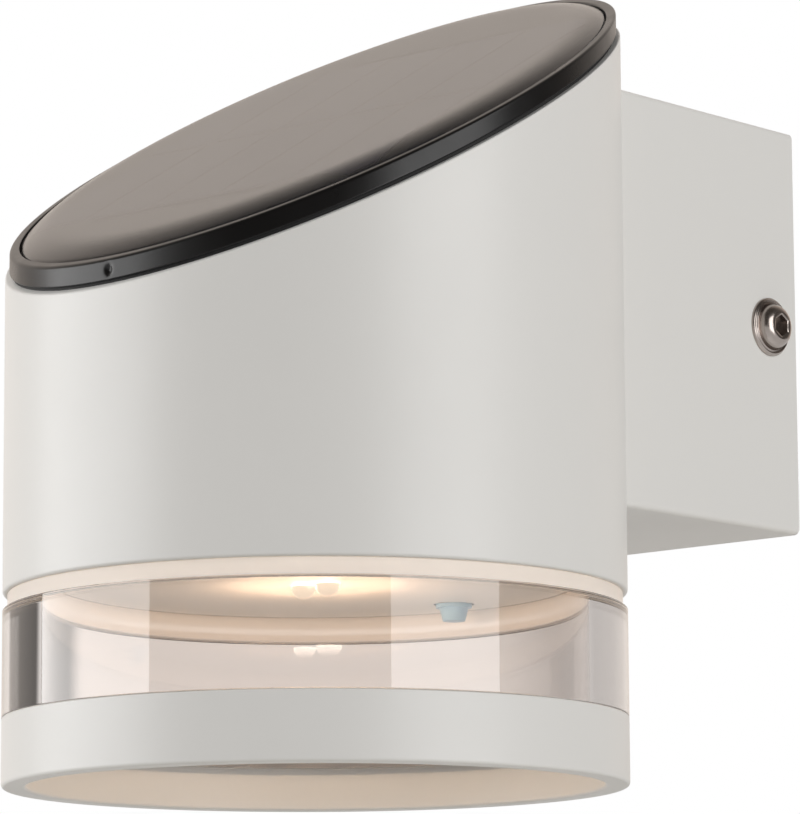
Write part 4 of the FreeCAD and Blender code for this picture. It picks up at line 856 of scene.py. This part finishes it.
def inner_finishes(clear_wall):
    """Each finish with the packed parts that wear it."""
    return [
        (["arm_box"], bpy.data.materials["powder_coat"]),
        (["lamp_deck"],
         deck_finish_with_painted_shade("deck_moulding", (0.96, 0.925, 0.88), TUBE_RADIUS - clear_wall, 0.6 * MM)),
        (["switch_plunger", "lead_plug", "lead_socket"],
         solid_finish("white_moulding", (0.88, 0.86, 0.82), 0.42, 1800.0, 0.01 * MM)),
        (["bezel_gasket"],
         solid_finish("black_rubber", (0.015, 0.015, 0.015), 0.75, 3000.0, 0.02 * MM)),
        (["head_tray"], bpy.data.materials["satin_black"]),
        (["switch_cap"], solid_finish("blue_cap", (0.36, 0.58, 0.76), 0.3, 2500.0, 0.004 * MM)),
        (["solar_cells"], cell_finish()),
        (["panel_board"],
         solid_finish("black_mask", (0.012, 0.012, 0.014), 0.4, 1500.0, 0.01 * MM)),
        (["lamp_board", "control_board"],
         solid_finish("green_mask", (0.02, 0.16, 0.07), 0.35, 900.0, 0.01 * MM, drift=0.7,
                      drift_scale=300.0)),
        (["switch_body", "control_parts"],
         solid_finish("black_part", (0.03, 0.03, 0.033), 0.5, 2500.0, 0.015 * MM)),
        (["lamp_resistors"], solid_finish("lacquer", (0.6, 0.47, 0.28), 0.35, 1200.0, 0.01 * MM)),
        (["battery"], solid_finish("shrink_sleeve", (0.04, 0.20, 0.07), 0.28, 500.0, 0.01 * MM,
                                   drift=0.85, drift_scale=80.0)),
        (["lamp_leads", "panel_leads"],
         solid_finish("red_lead", (0.40, 0.03, 0.02), 0.45, 2500.0, 0.01 * MM)),
        (["arm_screws", "deck_screws", "board_screws", "tray_screws", "control_screws", "arm_nuts"],
         metal_finish("stainless", (0.50, 0.465, 0.43), 0.2, (2500.0, 2500.0, 400.0), 0.003 * MM)),
        (["wall_plate", "plate_nuts"],
         metal_finish("zinc_steel", (0.58, 0.59, 0.60), 0.38, (60.0, 1500.0, 1500.0), 0.01 * MM)),
        (["cell_ribbons"],
         metal_finish("dull_ribbon", (0.035, 0.035, 0.04), 0.5, (60.0, 1500.0, 1500.0), 0.01 * MM)),
        (["battery_spring", "battery_plate", "switch_spring"],
         metal_finish("nickel", (0.70, 0.68, 0.64), 0.25, (1500.0, 300.0, 1500.0), 0.004 * MM)),
    ]


# ---- stage ----
CAMERA_PLACE = Vector((0.37512, -0.47022, -0.10628))
CAMERA_AZIMUTH = math.radians(41.71)
CAMERA_ELEVATION = math.radians(-9.41)
CAMERA_ROLL = math.radians(-0.31)
FOCUS = Vector((0.0, AXIS_Y, 0.0))
FLOOR_RADIUS = 12.0
FLOOR_LIFT = 0.4
BOUNCE_RISE = 0.05
BOUNCE_SIZE = 1.6
BOUNCE_COLOUR = (1.0, 0.82, 0.60)
# Dim patches seen through glass: angle from behind the object, cosines of edge and heart, level.
DIM_PATCHES = ((33.0, 0.95, 0.972, 0.10), (-30.0, 0.90, 0.97, 0.62))
# Name, setting, angle right of the camera, elevation, width, height and distance.
SOFTBOXES = (
    ("left_softbox", "left_glow", -87.5, 8.0, 0.94, 0.62, 0.9),
    ("right_softbox", "right_glow", 48.5, 8.0, 0.69, 0.72, 0.9),
)


def heading(azimuth, elevation):
    """Unit vector from the object: azimuth from -Y towards +X, elevation upwards, in radians."""
    flat = math.cos(elevation)
    return Vector((math.sin(azimuth) * flat, -math.cos(azimuth) * flat, math.sin(elevation)))


def lift_for_the_eye(material, level):
    """Lifts a stage finish by a plain level for the eye, gloss and glass, and not for the light it
    throws; its shadows stay."""
    tree = material.node_tree
    path = add(tree, "ShaderNodeLightPath")
    either = path.outputs["Is Camera Ray"]
    for seen in ("Is Glossy Ray", "Is Transmission Ray"):
        most = add(tree, "ShaderNodeMath", operation="MAXIMUM")
        wire(tree, (either, most.inputs[0]), (path.outputs[seen], most.inputs[1]))
        either = most.outputs[0]
    mix = add(tree, "ShaderNodeMix", data_type="RGBA")
    mix.inputs[6].default_value = (0, 0, 0, 1)
    mix.inputs[7].default_value = dim((1, 1, 1), level)
    shader = tree.nodes["Principled BSDF"]
    shader.inputs["Emission Strength"].default_value = 1.0
    wire(tree, (either, mix.inputs[0]), (mix.outputs[2], shader.inputs["Emission Color"]))


def facing(tree, direction, low, high, start, end):
    """A level that goes smoothly from start to end as a ray turns towards a direction."""
    place = add(tree, "ShaderNodeTexCoord")
    near = add(tree, "ShaderNodeVectorMath", operation="DOT_PRODUCT")
    near.inputs[1].default_value = direction
    ramp = add(tree, "ShaderNodeMapRange", interpolation_type="SMOOTHSTEP")
    set_inputs(ramp, {"From Min": low, "From Max": high, "To Min": start, "To Max": end})
    wire(tree, (place.outputs["Generated"], near.inputs[0]),
         (near.outputs["Value"], ramp.inputs["Value"]))
    return ramp.outputs["Result"]


class FENCE_OT_stage(bpy.types.Operator):
    """Camera at the photograph's angle, pale floor, white room and two softboxes"""
    bl_idname = "fence_light.stage"
    bl_label = "Stage"

    def execute(self, context):
        own = context.scene.fence_stage
        scene = context.scene
        scene.view_settings.view_transform = "Standard"
        data = bpy.data.cameras.new("camera")
        data.lens = own.lens
        data.sensor_width = 36.0
        data.clip_start, data.clip_end = 0.01, 50.0
        camera = bpy.data.objects.new("camera", data)
        back = heading(CAMERA_AZIMUTH, CAMERA_ELEVATION)
        turn = (-back).to_track_quat("-Z", "Y").to_matrix().to_4x4()
        roll = Matrix.Rotation(CAMERA_ROLL, 4, "Z")
        camera.matrix_world = Matrix.Translation(CAMERA_PLACE) @ turn @ roll
        scene.collection.objects.link(camera)
        scene.camera = camera
        for name, glow, degrees, rise, width, height, away in SOFTBOXES:
            self.softbox(scene, name, getattr(own, glow), degrees, rise, width, height, away)
        self.bounce(scene, own)
        self.room(scene, own)
        self.floor(scene, own)
        return {"FINISHED"}

    @staticmethod
    def softbox(scene, name, glow, degrees, rise, width, height, away):
        """An area light that faces the object, at an angle right of the camera."""
        data = bpy.data.lights.new(name, "AREA")
        data.shape = "RECTANGLE"
        data.size, data.size_y = width, height
        data.energy = glow * 4 * width * height
        light = bpy.data.objects.new(name, data)
        out = heading(CAMERA_AZIMUTH + math.radians(degrees), math.radians(rise))
        turn = out.to_track_quat("Z", "Y").to_matrix().to_4x4()
        light.matrix_world = Matrix.Translation(FOCUS + out * away) @ turn
        light.visible_camera = light.visible_transmission = False
        scene.collection.objects.link(light)

    @staticmethod
    def bounce(scene, own):
        """A wide weak light from below, as a pale floor throws it up."""
        data = bpy.data.lights.new("floor_bounce", "AREA")
        data.size = BOUNCE_SIZE
        data.energy = own.bounce_glow * 4 * data.size ** 2
        data.color = BOUNCE_COLOUR
        light = bpy.data.objects.new("floor_bounce", data)
        light.location = (0, AXIS_Y, BOUNCE_RISE - own.floor_drop)
        light.rotation_euler = (math.pi, 0, 0)
        light.visible_camera = light.visible_transmission = light.visible_glossy = False
        scene.collection.objects.link(light)

    @staticmethod
    def room(scene, own):
        """White for the eye; for gloss bright behind the object, dim in front of it and a little
        warm; white through glass but for a dim patch on each side; plain ambient for the rest."""
        world = bpy.data.worlds.new("room")
        world.use_nodes = True
        tree = world.node_tree
        background = tree.nodes["Background"]
        background.inputs["Color"].default_value = (1, 1, 1, 1)
        path = add(tree, "ShaderNodeLightPath")
        back, rise = CAMERA_AZIMUTH + math.pi, math.radians(9)
        behind = facing(tree, heading(back, 2 * rise), 0.2, 0.95, 0.08, 0.88)
        sides = add(tree, "ShaderNodeMath", operation="MULTIPLY")
        for slot, (turn, edge, heart, dark) in enumerate(DIM_PATCHES):
            patch = facing(tree, heading(back + math.radians(turn), rise), edge, heart, 1.0, dark)
            tree.links.new(patch, sides.inputs[slot])
        level = own.ambient
        for seen, strength in (("Is Glossy Ray", behind), ("Is Transmission Ray", sides.outputs[0]),
                               ("Is Camera Ray", 1.0)):
            choose = add(tree, "ShaderNodeMix", data_type="FLOAT")
            tree.links.new(path.outputs[seen], choose.inputs[0])
            for slot, value in ((2, level), (3, strength)):
                if isinstance(value, float):
                    choose.inputs[slot].default_value = value
                else:
                    tree.links.new(value, choose.inputs[slot])
            level = choose.outputs[0]
        warm = add(tree, "ShaderNodeMix", data_type="RGBA")
        warm.inputs[6].default_value = (1, 1, 1, 1)
        warm.inputs[7].default_value = (1, 0.89, 0.80, 1)
        straight = add(tree, "ShaderNodeMath", operation="SUBTRACT", use_clamp=True)
        wire(tree, (path.outputs["Is Glossy Ray"], straight.inputs[0]),
             (path.outputs["Is Transmission Ray"], straight.inputs[1]),
             (straight.outputs[0], warm.inputs[0]),
             (warm.outputs[2], background.inputs["Color"]),
             (level, background.inputs["Strength"]))
        scene.world = world

    @staticmethod
    def floor(scene, own):
        """A wide pale floor, flat under the light, rising far away: z = lift (r / R)^4 - drop."""
        radius = np.linspace(0, 1, 24) ** 1.5 * FLOOR_RADIUS
        turns = all_round(64)
        lift = FLOOR_LIFT * (radius / FLOOR_RADIUS) ** 4 - own.floor_drop
        grid = np.stack([radius * np.cos(turns)[:, None], radius * np.sin(turns)[:, None],
                         lift + 0 * turns[:, None]], -1)
        floor = piece_from("floor", [(grid, True, False)])
        floor.data.flip_normals()
        pale = solid_finish("pale_floor", (0.82, 0.82, 0.81), 0.8, 120.0, 0.05 * MM,
                            drift=0.98, drift_scale=3.0)
        lift_for_the_eye(pale, 0.5)
        floor.data.materials.append(pale)


class FENCE_PT_sidebar(bpy.types.Panel):
    """Lists the pieces and their settings"""
    bl_label = "Fence light"
    bl_idname = "FENCE_PT_sidebar"
    bl_space_type = "VIEW_3D"
    bl_region_type = "UI"
    bl_category = "Fence light"

    def draw(self, context):
        for name, kind in SETTINGS.items():
            box = self.layout.box()
            box.label(text=kind.__doc__)
            for prop in kind.__annotations__:
                box.prop(getattr(context.scene, name), prop)
        for operator in OPERATORS:
            self.layout.operator(operator.bl_idname)


OPERATORS = (FENCE_OT_stage, FENCE_OT_painted_shells, FENCE_OT_clear_ring, FENCE_OT_neck,
             FENCE_OT_bezel, FENCE_OT_panel, FENCE_OT_lamps, FENCE_OT_side_screws,
             FENCE_OT_inner_parts)


def register():
    """Registers settings, operators and the sidebar."""
    for name, kind in SETTINGS.items():
        bpy.utils.register_class(kind)
        setattr(bpy.types.Scene, name, PointerProperty(type=kind))
    for operator in OPERATORS + (FENCE_PT_sidebar,):
        bpy.utils.register_class(operator)


def unregister():
    """Takes everything away again, last first."""
    for operator in reversed(OPERATORS + (FENCE_PT_sidebar,)):
        bpy.utils.unregister_class(operator)
    for name, kind in reversed(SETTINGS.items()):
        delattr(bpy.types.Scene, name)
        bpy.utils.unregister_class(kind)


def main():
    """Builds every piece and the stage."""
    register()
    bpy.ops.fence_light.stage()
    bpy.ops.fence_light.painted_shells()
    bpy.ops.fence_light.clear_ring()
    bpy.ops.fence_light.neck()
    bpy.ops.fence_light.bezel()
    bpy.ops.fence_light.panel()
    bpy.ops.fence_light.lamps()
    bpy.ops.fence_light.side_screws()
    bpy.ops.fence_light.inner_parts()


if __name__ == "__main__":
    main()
